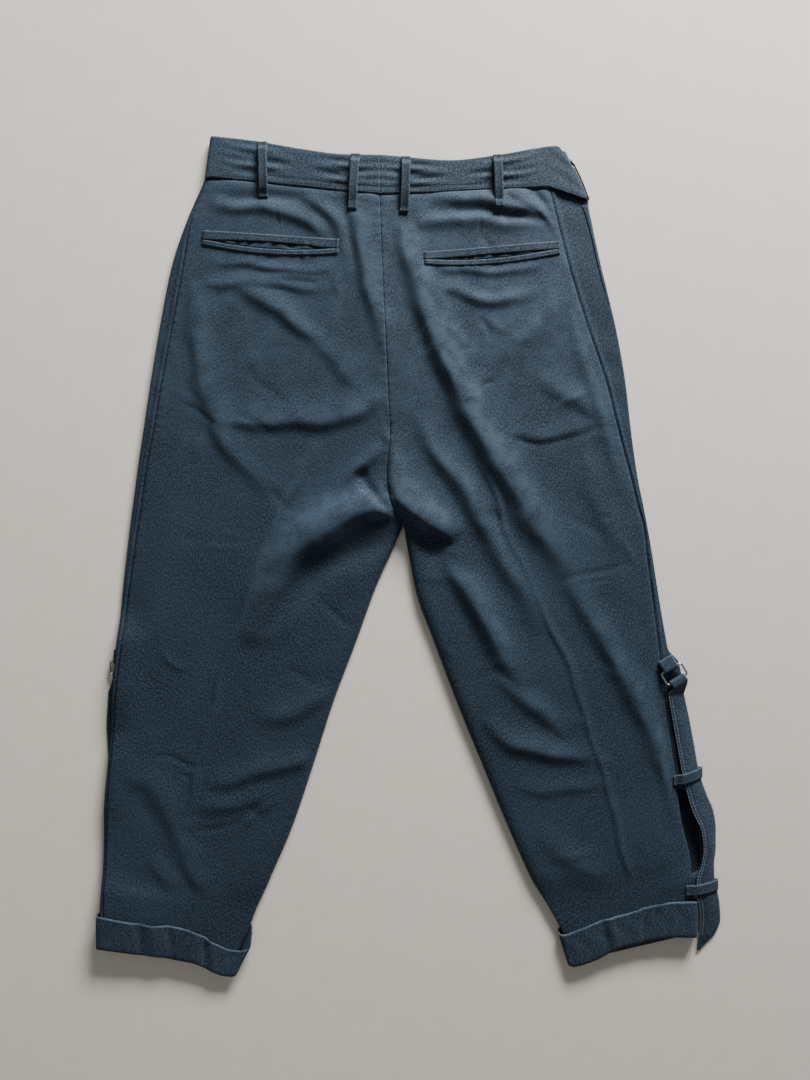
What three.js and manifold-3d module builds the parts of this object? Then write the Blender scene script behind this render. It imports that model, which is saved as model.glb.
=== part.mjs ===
// Bondage trousers: cropped tapered trousers with turn-ups and a strap down each leg,
// laid flat with the back upwards. Millimetres, +Z up, the waistband towards +Y.
// "Left" and "right" are the wearer's sides, so left lies at -X.
import * as THREE from "three";
import Module from "manifold-3d";
import { mergeVertices } from "three/addons/utils/BufferGeometryUtils.js";

const wasm = await Module();
wasm.setup();

// ---------------------------------------------------------------- cloth and clearances
const TWILL = 1.5; // wall of one layer of the panels' cloth
const BAND_CLOTH = 2.4; // waistband, doubled and interfaced
const CUFF_CLOTH = 2.0; // turned-up hem
const STRAP_CLOTH = 1.6; // strap, two layers
const TRIM_CLOTH = 1.2; // welts, tabs, keepers, pocket edges
const LOOP_CLOTH = 1.4; // belt loops
const GAP = 0.35; // clearance between pieces that lie on each other
const BUTT = 0.2; // half the clearance between two edges that are sewn together

// ---------------------------------------------------------------- heights of the layers
const CROWN = 8.9; // top of a back panel, away from its edges
const BAND_TOP = 9.0; // top of the waistband's back half
const INSEAM_TOP = 3.7; // top of a back panel's edge at the inseam
const INSEAM_ROLL = 16; // width over which it rolls down to that edge
const SEAM_EASE = 34; // width over which a back panel rises from its side seam
const HEM_LOFT = 3.8; // height of the folded front edge inside a cuff
const HEM_LIFT = CUFF_CLOTH + 2 * GAP; // a leg stands on its turned-up cuff
const HEM_RAMP = { start: 82, end: 54 }; // above the hem, where a leg rises into its cuff
const HEM_TUCK = 3; // a leg's inseam edge is drawn in by this much inside its cuff
const LAP = 3; // a front runs this far beneath the back panel at the side seam
const CLEAR_OF_LAP = 12; // and a back panel stays above it for this much more

// Where the underside is lifted by what it lies on: flat over half its width either side of
// the middle, then easing down to the floor over ramp.
const LIFT = {
  ring: { half: 19, ramp: 18, below: 2 },
  keeper: { half: 8, ramp: 9 },
  strap: { above: 40, ramp: 14, flat: 14, floor: 34, insideX: -250 },
  pocket: { fromFold: 26, half: 12, ramp: 10, down: 65, halfDown: 62, rampDown: 16 },
  loop: { half: 18, ramp: 16, footY: 352, flatY: 368 },
};

// ---------------------------------------------------------------- leg sections
// Rows run from the waist seam to the hem. seam: side seam, which edges the back panel.
// fold: outline at the side, where the front turns under. inner: centre back seam down to
// the crotch, then the inseam. loft: height of the folded front edge.
const LEG_COLUMNS = ["seamX", "seamY", "foldX", "foldY", "innerX", "innerY", "loft"];
const LEFT_ROWS = table(LEG_COLUMNS, [
  [-215.5, 408.5, -221.4, 408.5, -31.9, 390.1, 6.2],
  [-235.4, 361.3, -241.9, 361.3, -30.6, 346.1, 6],
  [-243.5, 315.9, -257.0, 315.9, -28.8, 301.9, 6],
  [-254.9, 253.3, -269.5, 253.3, -25.9, 241.4, 6],
  [-266.2, 192.8, -279.7, 192.8, -23.2, 182.0, 6],
  [-274.9, 142.0, -287.3, 142.0, -21.1, 130.1, 6],
  [-283.5, 95.6, -294.3, 95.6, -24.8, 86.9, 5.6],
  [-287.8, 66.4, -298.1, 66.4, -20.5, 58.9, 5.4],
  [-290.5, 47.0, -300.8, 47.0, -7.6, 39.4, 5.2],
  [-295.9, 12.4, -305.1, 12.4, -16.7, 12.4, 5],
  [-301.9, -30.8, -310.0, -30.8, -36.2, -31.9, 4.6],
  [-308.9, -90.2, -315.4, -90.2, -57.8, -91.3, 3.8],
  [-316.4, -155.0, -320.8, -155.0, -82.6, -157.1, 3.8],
  [-321.3, -219.8, -325.1, -219.8, -103.7, -223.0, 4],
  [-326.2, -284.6, -330.5, -284.6, -128.0, -294.3, 4],
  [-327.2, -338.6, -331.0, -338.6, -153.9, -354.8, 4],
  [-328.3, -383.9, -333.2, -383.9, -173.3, -407.7, HEM_LOFT],
  [-328.9, -418.5, -334.0, -418.5, -193.5, -446.7, HEM_LOFT],
]);
const RIGHT_ROWS = table(LEG_COLUMNS, [
  [150.7, 398.0, 192.8, 385.0, -31.9, 390.1, 6.2],
  [160.4, 358.0, 198.2, 354.8, -30.2, 348.3, 6],
  [172.3, 311.6, 207.9, 310.5, -28.3, 302.9, 6],
  [191.2, 250.0, 223.0, 250.0, -25.4, 241.4, 6],
  [212.2, 187.4, 234.1, 187.4, -22.9, 180.9, 6],
  [225.7, 133.4, 240.3, 133.4, -21.1, 129.1, 6],
  [238.7, 84.8, 247.3, 84.8, -25.1, 86.9, 5.8],
  [245.7, 55.6, 253.3, 55.6, -20.5, 58.9, 5.6],
  [252.7, 30.8, 258.1, 30.8, -7.6, 39.4, 5.4],
  [256.0, 0.5, 263.3, 0.5, -2.2, 11.3, 5.2],
  [261.4, -41.6, 269.8, -41.6, 7.3, -38.3, 5.2],
  [267.8, -90.2, 278.1, -90.2, 26.5, -91.3, 5.4],
  [277.6, -155.0, 291.1, -155.0, 51.3, -157.1, 5.4],
  [287.3, -219.8, 301.3, -219.8, 80.5, -228.4, 5.4],
  [293.2, -284.6, 308.3, -284.6, 109.1, -297.5, 5.4],
  [303.5, -333.2, 309.7, -333.2, 135.0, -354.8, 5],
  [303.0, -376.4, 308.0, -376.4, 163.8, -408.5, HEM_LOFT],
  [303.0, -406.6, 308.0, -406.6, 174.6, -437.4, HEM_LOFT],
]);
const CROTCH_Y = 39.4;
const CROTCH_X = -7.6;
const FRONT_WAIST = { x: 0, y: 364.5 }; // centre front at the waist seam, lower than the back

// The right side seam stands open between these heights: the side vent.
const VENT = { top: -252, bottom: -332, ramp: 16, depth: 14 };

// ---------------------------------------------------------------- largest folds
// Each runs from (x1, y1) to (x2, y2), bowed sideways by bow, spread over width either side
// of its crest, and stands height proud (a trough where negative).
const FOLDS = table(["x1", "y1", "x2", "y2", "bow", "width", "height"], [
  [-84, 384, -26, 152, 9, 15, 2.4], // seat, left of the centre back
  [-12, 372, 166, -22, -27, 18, 5.2], // long diagonal from the waist over the right thigh
  [136, 6, 286, -256, 12, 17, 3.8], // the same, on down to the right side seam
  [-30, 116, 66, -12, -6, 15, 7.2], // crotch, over the right thigh
  [40, 24, 118, -140, 5, 13, 5],
  [0, 168, 144, -68, -10, 13, 2.8],
  [-12, 74, -168, -72, 15, 19, 7.6], // crotch, over the left thigh
  [-186, 283, -96, 226, 0, 12, 1.8], // seat, left
  [-230, 142, -40, 158, -4, 15, 2.4], // below the left seat
  [102, 402, 166, 340, 4, 8, 2.2], // hip, beside the right side seam
  [-224, 387, -92, 384, 2, 11, -2], // under the waistband, left
  [30, 371, 150, 366, -2, 10, -2], // under the waistband, right
  [-202, -238, -96, -214, 2, 11, 2], // behind the left knee
  [90, -194, 170, -227, -4, 12, 2.8], // behind the right knee
  [101, -142, 164, -184, -3, 10, 1.8],
]);
const FOLD_EDGE = 14; // folds die out over this width at a panel's side seam and inseam

// ---------------------------------------------------------------- waistband
const TOP_EDGE = table(["x", "y"], [
  [-215.5, 453.0],
  [-202.5, 452.0],
  [-165.8, 447.7],
  [-118.3, 439.6],
  [-69.7, 433.6],
  [-31.9, 432.8],
  [-7.0, 430.9],
  [43.7, 427.1],
  [97.7, 433.1],
  [135.5, 439.8],
  [157.1, 442.3],
  [165.0, 439.5],
]);
const FRONT_BAND_TOP = { x: 0, y: 405.5 }; // upper edge at the centre front
const BAND_FOLD = {
  left: { top: [-215.5, 452.9], seam: [-221.4, 408.5] },
  right: { top: [169.0, 436.9], seam: [193.2, 385.5] },
};
const FLY = { lap: 16, under: 10, bottom: 195, top: 225, clear: 170, zipWidth: 22, zipThick: 0.8 };
const HOOK = { width: 14, height: 9, thick: 0.8, y: 385 };

// ---------------------------------------------------------------- belt loops
const LOOP_WIDTH = 11;
const LOOP_CLEAR = 4.8; // standing height of a loop over the waistband
const BACK_LOOPS = table(["name", "topX", "topY", "footX", "footY"], [
  ["belt_loop_back_left", -158.2, 446.0, -157.1, 386.5],
  ["belt_loop_centre_left", -57.8, 433.2, -61.6, 373.5],
  ["belt_loop_centre_right", -3.8, 430.2, -5.9, 370.5],
  ["belt_loop_back_right", 94.5, 432.2, 96.7, 375.5],
]);
const PRESSED_LOOP_RISE = 2.4; // the two front loops are pressed closer
const FRONT_LOOP_LEFT_X = -184;
const FRONT_LOOP_LENGTH = 56;
const FRONT_LOOP_RIGHT = { from: 10, length: 46, half: 4 }; // half: half its height, edge-on

// ---------------------------------------------------------------- pockets
// The mouth runs from (x1, y1) to (x2, y2). It gapes up and down from that line by the
// amounts rise and droop.
const BACK_POCKETS = {
  left: { x1: -223, y1: 340.7, x2: -76.7, y2: 331, rise: 4.6, droop: 7.2 },
  right: { x1: 16.2, y1: 318.6, x2: 162, y2: 331, rise: 2.4, droop: 7.0 },
};
const WELT = { upper: 7, lower: 4.6, over: 1.2, facing: 12, facingThick: 1, facingDrop: 0.5 };
const POCKET_EDGE = { wide: 5, from: 8, length: 116, atTop: 35, atFoot: 31 };

// ---------------------------------------------------------------- cuffs
// Upper and lower edge of each turn-up where it crosses the back, from side to inseam.
const CUFF_COLUMNS = ["topX", "topY", "footX", "footY"];
const CUFFS = {
  left: {
    back: table(CUFF_COLUMNS, [
      [-330.5, -385.8, -331.5, -421.8],
      [-306.0, -391.2, -306.0, -425.6],
      [-278.0, -395.6, -278.0, -429.6],
      [-250.0, -398.0, -250.0, -433.0],
      [-229.0, -405.4, -229.0, -439.4],
      [-209.0, -416.5, -213.5, -447.0],
      [-194.0, -424.0, -203.0, -451.6],
      [-181.0, -425.0, -194.0, -453.0],
    ]),
    innerFold: { topX: -170.1, topY: -405.5, footX: -185.6, footY: -446.0 },
    outerFold: { topX: -336.9, topY: -385.0, footX: -337.7, footY: -421.7 },
    front: table(CUFF_COLUMNS, [
      [-178.0, -397.0, -192.0, -436.0],
      [-215.0, -391.5, -218.0, -432.0],
      [-250.0, -388.0, -251.0, -428.0],
      [-265.0, -387.0, -266.0, -426.0],
      [-279.0, -386.0, -280.0, -424.0],
      [-302.0, -385.5, -302.0, -422.5],
      [-328.5, -384.5, -330.0, -421.0],
    ]),
  },
  right: {
    back: table(CUFF_COLUMNS, [
      [304.5, -371.0, 304.5, -409.9],
      [279.2, -372.1, 279.2, -409.9],
      [259.7, -376.1, 260.8, -412.8],
      [236.0, -383.9, 245.7, -417.0],
      [211.1, -390.4, 223.7, -422.8],
      [187.4, -400.1, 201.4, -434.7],
      [168.0, -407.5, 179.0, -442.3],
    ]),
    innerFold: { topX: 160.6, topY: -407.7, footX: 171.0, footY: -440.1 },
    outerFold: { topX: 311.0, topY: -371.0, footX: 311.0, footY: -409.9 },
    front: table(CUFF_COLUMNS, [
      [167.5, -402.0, 177.0, -436.0],
      [215.0, -385.0, 222.0, -420.0],
      [262.0, -375.0, 265.0, -411.0],
      [304.0, -371.0, 304.0, -409.5],
    ]),
  },
};

// ---------------------------------------------------------------- straps, rings, keepers
const RING = { long: 12.3, short: 7.1, corner: 2.6, wire: 1.1 };
const RING_AT = {
  right: { x: 287.4, y: -123.0, z: 10.4, alongX: 0.81, alongY: 0.586 },
  left: { x: -312.0, y: -120.4, z: 3.2, alongX: -1, alongY: 0 },
};
const HEAD_WIDTH = 20; // strap where it passes the ring
const HEAD_LENGTH = 5;
const TAB_WIDTH = 17;
const TAB_LENGTH = 9;
const STRAP_WIDTH = 24.8;
// Right strap: its inner and outer edge, their heights, and its crown between them.
const RIGHT_STRAP = table(["y", "innerX", "outerX", "innerZ", "outerZ", "crown"], [
  [-148, 281.2, 298.0, 10.6, 7.0, 1.0],
  [-171, 286.7, 302.9, 9.8, 5.2, 1.5],
  [-203, 292.1, 308.9, 9.6, 4.4, 1.6],
  [-232, 296.5, 313.7, 9.6, 4.2, 1.6],
  [-257, 299.2, 321.6, 9.2, 3.6, 1.6],
  [-276, 305.1, 329.4, 9.4, 3.0, 1.5],
  [-295, 314.0, 332.1, 10.2, 2.6, 1.6],
  [-315, 316.2, 332.1, 10.2, 2.6, 1.6],
  [-333, 313.9, 330.2, 10.0, 2.8, 1.5],
  [-348, 311.4, 330.2, 9.8, 3.4, 1.2],
  [-363, 312.0, 333.6, 9.8, 3.4, 1.0],
  [-376, 313.4, 336.2, 8.6, 2.4, 1.0],
  [-393, 313.7, 337.4, 6.0, 1.8, 0.8],
  [-409, 313.6, 331.6, 4.2, 1.8, 0.6],
  [-418, 312.9, 322.9, 3.2, 1.8, 0.3],
  [-427, 312.0, 314.6, 2.4, 1.8, 0],
]);
// Left strap: flat beneath the edge of the leg, so only its outer edge is given.
const LEFT_STRAP = table(["y", "outerX", "width"], [
  [-148, -326.6, 22],
  [-182, -328.5, STRAP_WIDTH],
  [-204, -327.4, STRAP_WIDTH],
  [-227, -326.2, STRAP_WIDTH],
  [-250, -325.8, STRAP_WIDTH],
  [-295, -325.6, STRAP_WIDTH],
  [-338, -327.8, STRAP_WIDTH],
  [-368, -332.4, STRAP_WIDTH],
  [-390, -330.5, STRAP_WIDTH],
  [-402, -328.5, 17],
  [-412, -326.0, 5],
]);
// It has a row wherever a keeper lifts it, besides the even ones.
const LEFT_STRAP_ROWS = [
  -148, -158, -182, -204, -221, -231, -247, -257, -280,
  -310, -338, -350, -360, -377, -387, -395, -403, -412,
];
const LEFT_STRAP_TOP = STRAP_CLOTH + 0.2;
const KEEPER_WIDTH = 11;
const KEEPER_CLOTH = 1;
const KEEPERS_RIGHT = table(["name", "startX", "startY", "endX", "endY"], [
  ["keeper_upper_right", 284.5, -241.8, 315, -233.2],
  ["keeper_lower_right", 297.4, -359.4, 334, -354.8],
]);
const KEEPERS_LEFT = table(["name", "y"], [
  ["keeper_upper_left", -238.7],
  ["keeper_lower_left", -368.3],
]);

// ---------------------------------------------------------------- small helpers
function table(names, rows) {
  return rows.map((row) => Object.fromEntries(names.map((name, i) => [name, row[i]])));
}

const mix = (a, b, t) => a + (b - a) * t;
const clamp = (v, lo, hi) => Math.min(hi, Math.max(lo, v));

function ease(v, from, to) {
  const t = clamp((v - from) / (to - from), 0, 1);
  return t * t * (3 - 2 * t);
}

// 1 within half of the centre, easing to 0 over ramp beyond it.
function windowed(v, centre, half, ramp) {
  return 1 - ease(Math.abs(v - centre), half, half + ramp);
}

// A curve through the points that never swings past them (monotone cubic).
function smooth(xs, ys) {
  const last = xs.length - 1;
  const slope = xs.slice(1).map((x, i) => (ys[i + 1] - ys[i]) / (x - xs[i]));
  const tangent = xs.map((_, i) => {
    if (i === 0) return slope[0];
    if (i === last) return slope[last - 1];
    if (slope[i - 1] * slope[i] <= 0) return 0;
    return (2 * slope[i - 1] * slope[i]) / (slope[i - 1] + slope[i]);
  });
  return (x) => {
    let i = 0;
    while (i < last - 1 && x > xs[i + 1]) i += 1;
    const width = xs[i + 1] - xs[i];
    const t = clamp((x - xs[i]) / width, 0, 1);
    const rise = ys[i + 1] - ys[i];
    const a = tangent[i] * width - rise;
    const b = rise - tangent[i + 1] * width;
    return ys[i] + t * rise + t * (1 - t) * (a * (1 - t) + b * t);
  };
}

function curveOf(rows, key, value) {
  return smooth(rows.map((row) => row[key]), rows.map((row) => row[value]));
}

// ---------------------------------------------------------------- closed walls from grids
// outer and inner are grids of points [x, y, z] with the same rows and columns.
function wall(outer, inner, closed = false) {
  const rows = outer.length;
  const cols = outer[0].length;
  const position = [...outer.flat(), ...inner.flat()].flat();
  const index = [];
  const at = (layer, i, j) => layer * rows * cols + (i % rows) * cols + j;
  const quad = (a, b, c, d) => index.push(a, b, c, a, c, d);
  const spans = closed ? rows : rows - 1;
  for (let i = 0; i < spans; i += 1) {
    for (let j = 0; j < cols - 1; j += 1) {
      quad(at(0, i, j), at(0, i + 1, j), at(0, i + 1, j + 1), at(0, i, j + 1));
      quad(at(1, i, j), at(1, i, j + 1), at(1, i + 1, j + 1), at(1, i + 1, j));
    }
    quad(at(0, i + 1, 0), at(0, i, 0), at(1, i, 0), at(1, i + 1, 0));
    quad(at(0, i, cols - 1), at(0, i + 1, cols - 1), at(1, i + 1, cols - 1), at(1, i, cols - 1));
  }
  if (!closed) {
    for (let j = 0; j < cols - 1; j += 1) {
      quad(at(0, 0, j), at(0, 0, j + 1), at(1, 0, j + 1), at(1, 0, j));
      quad(at(0, rows - 1, j + 1), at(0, rows - 1, j), at(1, rows - 1, j), at(1, rows - 1, j + 1));
    }
  }
  return facingOut(position, index);
}

function signedVolume(position, index) {
  let sum = 0;
  const corner = (k) => new THREE.Vector3().fromArray(position, index[k] * 3);
  for (let k = 0; k < index.length; k += 3) {
    sum += corner(k).dot(corner(k + 1).cross(corner(k + 2)));
  }
  return sum / 6;
}

function facingOut(position, index) {
  const inward = signedVolume(position, index) < 0;
  const order = inward ? index.map((_, k) => index[k - (k % 3) + (2 - (k % 3))]) : index;
  const geometry = new THREE.BufferGeometry();
  geometry.setAttribute("position", new THREE.Float32BufferAttribute(position, 3));
  geometry.setIndex(order);
  geometry.computeVertexNormals();
  return geometry;
}

// The grid moved by depth along its own normals; side is 1 or -1.
function offsetGrid(grid, depth, side, closed = false) {
  const rows = grid.length;
  const cols = grid[0].length;
  const point = (i, j) => new THREE.Vector3(...grid[i][j]);
  return grid.map((row, i) =>
    row.map((_, j) => {
      const before = closed ? (i + rows - 1) % rows : Math.max(i - 1, 0);
      const after = closed ? (i + 1) % rows : Math.min(i + 1, rows - 1);
      const along = point(after, j).sub(point(before, j));
      const across = point(i, Math.min(j + 1, cols - 1)).sub(point(i, Math.max(j - 1, 0)));
      const normal = along.cross(across).normalize().multiplyScalar(side * depth);
      return point(i, j).add(normal).toArray();
    }),
  );
}

// A layer that lies on something: the grid gives its under face.
function layer(under, thickness) {
  const upper = under.map((row) => row.map(([x, y, z]) => [x, y, z + thickness]));
  return wall(upper, under);
}

// Height of the faceted surface of a grid above (x, y).
function heightOn(grid, x, y) {
  for (let i = 0; i < grid.length - 1; i += 1) {
    for (let j = 0; j < grid[0].length - 1; j += 1) {
      const a = grid[i][j];
      const b = grid[i + 1][j];
      const c = grid[i + 1][j + 1];
      const d = grid[i][j + 1];
      const z = heightOnTriangle(a, b, c, x, y) ?? heightOnTriangle(a, c, d, x, y);
      if (z !== null) return z;
    }
  }
  return null;
}

function heightOnTriangle(a, b, c, x, y) {
  const det = (b[1] - c[1]) * (a[0] - c[0]) + (c[0] - b[0]) * (a[1] - c[1]);
  const u = ((b[1] - c[1]) * (x - c[0]) + (c[0] - b[0]) * (y - c[1])) / det;
  const v = ((c[1] - a[1]) * (x - c[0]) + (a[0] - c[0]) * (y - c[1])) / det;
  const w = 1 - u - v;
  const slack = -1e-6;
  if (u < slack || v < slack || w < slack) return null;
  return u * a[2] + v * b[2] + w * c[2];
}

// ---------------------------------------------------------------- what lies under the garment
function underRing(y) {
  return windowed(y, RING_AT.left.y + LIFT.ring.below, LIFT.ring.half, LIFT.ring.ramp);
}

function underKeeper(y) {
  return Math.max(...KEEPERS_LEFT.map((k) => windowed(y, k.y, LIFT.keeper.half, LIFT.keeper.ramp)));
}

function leftStrapTop(y) {
  const ringRise = (RING_AT.left.z + RING.wire + GAP + STRAP_CLOTH - LEFT_STRAP_TOP) * underRing(y);
  return LEFT_STRAP_TOP + ringRise + underKeeper(y) * (KEEPER_CLOTH + GAP);
}

const leftStrapOuter = (y) => curveOf(
  LEFT_STRAP.map((row) => ({ down: -row.y, outerX: row.outerX })), "down", "outerX")(-y);

// How far the underside is held off the floor by the left strap, ring and keepers.
function strapLift(x, y) {
  const { above, ramp, flat, floor, insideX } = LIFT.strap;
  const start = RING_AT.left.y + above;
  if (y > start || x > insideX) return 0;
  const high = leftStrapTop(y) + GAP + underKeeper(y) * (KEEPER_CLOTH + GAP);
  const innerEdge = leftStrapOuter(y) + STRAP_WIDTH;
  const inside = 1 - ease(x, innerEdge + flat, innerEdge + floor);
  return high * inside * ease(-y, -start, -start + ramp);
}

function pocketLift(x, y) {
  const { fromFold, half, ramp, halfDown, rampDown } = LIFT.pocket;
  const down = LEFT_ROWS[0].seamY - y;
  const fold = legAt("left", clamp(down, 0, legs.left.crotchDown)).fold.x;
  const beside = windowed(x - fold, fromFold, half, ramp);
  return (TRIM_CLOTH + GAP) * beside * windowed(down, LIFT.pocket.down, halfDown, rampDown);
}

function loopLift(x, y) {
  const { half, ramp, footY, flatY } = LIFT.loop;
  const beside = windowed(x, FRONT_LOOP_LEFT_X, half, ramp);
  return (LOOP_CLOTH + 2 * GAP) * beside * ease(y, footY, flatY);
}

function underLift(side, x, y) {
  if (side === "right") return 0;
  return Math.max(strapLift(x, y), pocketLift(x, y), loopLift(x, y));
}

// ---------------------------------------------------------------- leg sections as curves
const legs = { left: legCurves(LEFT_ROWS), right: legCurves(RIGHT_ROWS) };

function legCurves(rows) {
  const down = rows.map((row) => rows[0].seamY - row.seamY);
  const curves = Object.fromEntries(
    LEG_COLUMNS.map((name) => [name, smooth(down, rows.map((row) => row[name]))]),
  );
  const crotch = rows.findIndex((row) => row.innerX === CROTCH_X);
  return { curves, length: down[down.length - 1], crotchDown: down[crotch], rows };
}

// The centre back seam is one line for both panels: its share runs from waist to crotch.
const centreRows = LEFT_ROWS.slice(0, LEFT_ROWS.findIndex((row) => row.innerX === CROTCH_X) + 1);
const centreShare = centreRows.map((row) =>
  (LEFT_ROWS[0].seamY - row.seamY) / legs.left.crotchDown);
const centreBack = {
  x: smooth(centreShare, centreRows.map((row) => row.innerX)),
  y: smooth(centreShare, centreRows.map((row) => row.innerY)),
};

function legAt(side, down) {
  const { curves, crotchDown } = legs[side];
  const value = Object.fromEntries(LEG_COLUMNS.map((name) => [name, curves[name](down)]));
  const toCrotch = clamp(1 - down / crotchDown, 0, 1);
  if (toCrotch > 0) {
    value.innerX = centreBack.x(1 - toCrotch);
    value.innerY = centreBack.y(1 - toCrotch);
  }
  const drop = FRONT_WAIST.y - curves.innerY(0);
  const centre = down < crotchDown ? mix(CROTCH_X, FRONT_WAIST.x, toCrotch) : value.innerX;
  const frontY = value.innerY + drop * toCrotch * toCrotch;
  const hem = ease(down, legs[side].length - HEM_RAMP.start, legs[side].length - HEM_RAMP.end);
  const tuck = (side === "left" ? -HEM_TUCK : HEM_TUCK) * hem;
  return {
    seam: { x: value.seamX, y: value.seamY },
    fold: { x: value.foldX, y: value.foldY },
    inner: { x: value.innerX + tuck, y: value.innerY },
    front: { x: centre + tuck, y: frontY },
    loft: value.loft,
    hem,
    split: ease(down, crotchDown - 12, crotchDown + 30),
  };
}

// Rows every step, the same shares of both seats, and one at each height below the crotch
// where something small needs it.
const SEAT_EXTRA = [0.45, 0.54, 0.61]; // start, clearance and end of the fly's overlap
const LEG_EXTRA = {
  left: [
    -78, -97, -118, -139, -158, // ring
    -221, -231, -247, -257, // upper keeper
    -336, -343, -350, -357, -364, -377, -386, // lower keeper and cuff
  ],
  right: [-240, -252, -268, -316, -324, -331, -338, -345, -352, -368],
};

function rowsDown(side, step) {
  const { length, rows, crotchDown } = legs[side];
  const evenly = (from, to) => {
    const count = Math.round((to - from) / step);
    return Array.from({ length: count + 1 }, (_, i) => mix(from, to, i / count));
  };
  const clearOf = (extra) => (v, i, all) =>
    i === 0 || i === all.length - 1 || extra.every((e) => Math.abs(e - v) > step * 0.35);
  const seatStep = legs.left.crotchDown / Math.round(legs.left.crotchDown / step);
  const seatCount = Math.round(legs.left.crotchDown / seatStep);
  const shares = Array.from({ length: seatCount + 1 }, (_, i) => i / seatCount);
  const apart = (step * 0.35) / legs.left.crotchDown;
  const seat = [
    ...shares.filter((v) => SEAT_EXTRA.every((e) => Math.abs(e - v) > apart)),
    ...SEAT_EXTRA,
  ].map((share) => share * crotchDown);
  const extra = LEG_EXTRA[side].map((y) => rows[0].seamY - y);
  const lower = [...evenly(crotchDown, length).filter(clearOf(extra)), ...extra];
  return [...new Set([...seat, ...lower])].sort((a, b) => a - b);
}

// ---------------------------------------------------------------- folds and back panels
function foldHeight(x, y) {
  let z = 0;
  for (const fold of FOLDS) {
    const length = Math.hypot(fold.x2 - fold.x1, fold.y2 - fold.y1);
    const ux = (fold.x2 - fold.x1) / length;
    const uy = (fold.y2 - fold.y1) / length;
    const along = ((x - fold.x1) * ux + (y - fold.y1) * uy) / length;
    if (along < 0 || along > 1) continue;
    const bow = fold.bow * 4 * along * (1 - along);
    const away = (-(x - fold.x1) * uy + (y - fold.y1) * ux - bow) / fold.width;
    z += fold.height * Math.sin(Math.PI * along) ** 0.7 * Math.exp(-away * away);
  }
  return z;
}

function frontEdgeTop(side, leg) {
  const lift = underLift(side, leg.fold.x, leg.fold.y) + HEM_LIFT * leg.hem;
  return lift + leg.loft;
}

function backPoint(side, leg, across) {
  const x = mix(leg.seam.x, leg.inner.x, across);
  const y = mix(leg.seam.y, leg.inner.y, across);
  const width = Math.abs(leg.inner.x - leg.seam.x);
  const fromSeam = across * width;
  const fromInner = (1 - across) * width;
  const edge = frontEdgeTop(side, leg) + GAP + TWILL;
  const rise = mix(edge, CROWN, ease(fromSeam, 4, SEAM_EASE));
  const roll = Math.sqrt(1 - (1 - clamp(fromInner / INSEAM_ROLL, 0, 1)) ** 2);
  const rolled = mix(INSEAM_TOP, rise, roll);
  const fade = ease(fromSeam, 2, FOLD_EDGE + 2) * mix(1, ease(fromInner, 2, FOLD_EDGE), leg.split);
  const body = mix(rise, rolled, leg.split) + foldHeight(x, y) * fade;
  const hemInner = HEM_LIFT + TWILL + GAP + TWILL;
  return [x, y, mix(body, mix(edge, hemInner, across), leg.hem)];
}

const BACK_ACROSS = [
  0, 0.025, 0.08, 0.16, 0.24, 0.32, 0.4, 0.48, 0.56, 0.64, 0.72, 0.79, 0.86, 0.92, 0.96, 0.985, 1,
];
const BACK_STEP = 23;
const backGrid = { left: gridOfBack("left"), right: gridOfBack("right") };

function gridOfBack(side) {
  const butt = side === "left" ? -BUTT : BUTT;
  return rowsDown(side, BACK_STEP).map((down) => {
    const leg = legAt(side, down);
    leg.inner = { x: leg.inner.x + butt, y: leg.inner.y };
    if (down === 0) {
      leg.seam.y -= GAP;
      leg.inner.y -= GAP;
    }
    return BACK_ACROSS.map((across) => backPoint(side, leg, across));
  });
}

// The under face of a back panel, held clear of the front that it lies on.
function backUnder(side) {
  const grid = backGrid[side];
  const lowered = offsetGrid(grid, TWILL, 1);
  const downs = rowsDown(side, BACK_STEP);
  return grid.map((row, i) => {
    const leg = legAt(side, downs[i]);
    return row.map(([x, y, z], j) => {
      const slope = Math.max(0.5, Math.abs(z - lowered[i][j][2]) / TWILL);
      const fromSeam = Math.abs(x - leg.seam.x);
      const floor = underLift(side, x, y) + HEM_LIFT * leg.hem + TWILL;
      const below = fromSeam < LAP + CLEAR_OF_LAP ? frontEdgeTop(side, leg) : floor;
      return [x, y, Math.max(z - TWILL / slope, below + GAP)];
    });
  });
}

// ---------------------------------------------------------------- manifold cut
function cut(geometry, tool) {
  const solid = (source) => {
    const bare = new THREE.BufferGeometry();
    bare.setAttribute("position", source.getAttribute("position").clone());
    bare.setIndex(source.getIndex() ? source.getIndex().clone() : null);
    const merged = mergeVertices(bare, 1e-4);
    return new wasm.Manifold(new wasm.Mesh({
      numProp: 3,
      vertProperties: new Float32Array(merged.getAttribute("position").array),
      triVerts: new Uint32Array(merged.getIndex().array),
    }));
  };
  const result = solid(geometry).subtract(solid(tool)).getMesh();
  const geometryOut = new THREE.BufferGeometry();
  geometryOut.setAttribute("position", new THREE.Float32BufferAttribute(result.vertProperties, 3));
  geometryOut.setIndex(new THREE.Uint32BufferAttribute(result.triVerts, 1));
  geometryOut.computeVertexNormals();
  return geometryOut;
}

// ---------------------------------------------------------------- back pockets
function mouthLine(pocket, t, offset) {
  const length = Math.hypot(pocket.x2 - pocket.x1, pocket.y2 - pocket.y1);
  const nx = -(pocket.y2 - pocket.y1) / length;
  const ny = (pocket.x2 - pocket.x1) / length;
  return [
    mix(pocket.x1, pocket.x2, t) + nx * offset,
    mix(pocket.y1, pocket.y2, t) + ny * offset,
  ];
}

const mouthRise = (pocket, t) => pocket.rise * Math.sin(Math.PI * t) ** 0.8;
const mouthDroop = (pocket, t) => -pocket.droop * Math.sin(Math.PI * t) ** 0.8;
const MOUTH_STEPS = Array.from({ length: 15 }, (_, i) => i / 14);

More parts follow.
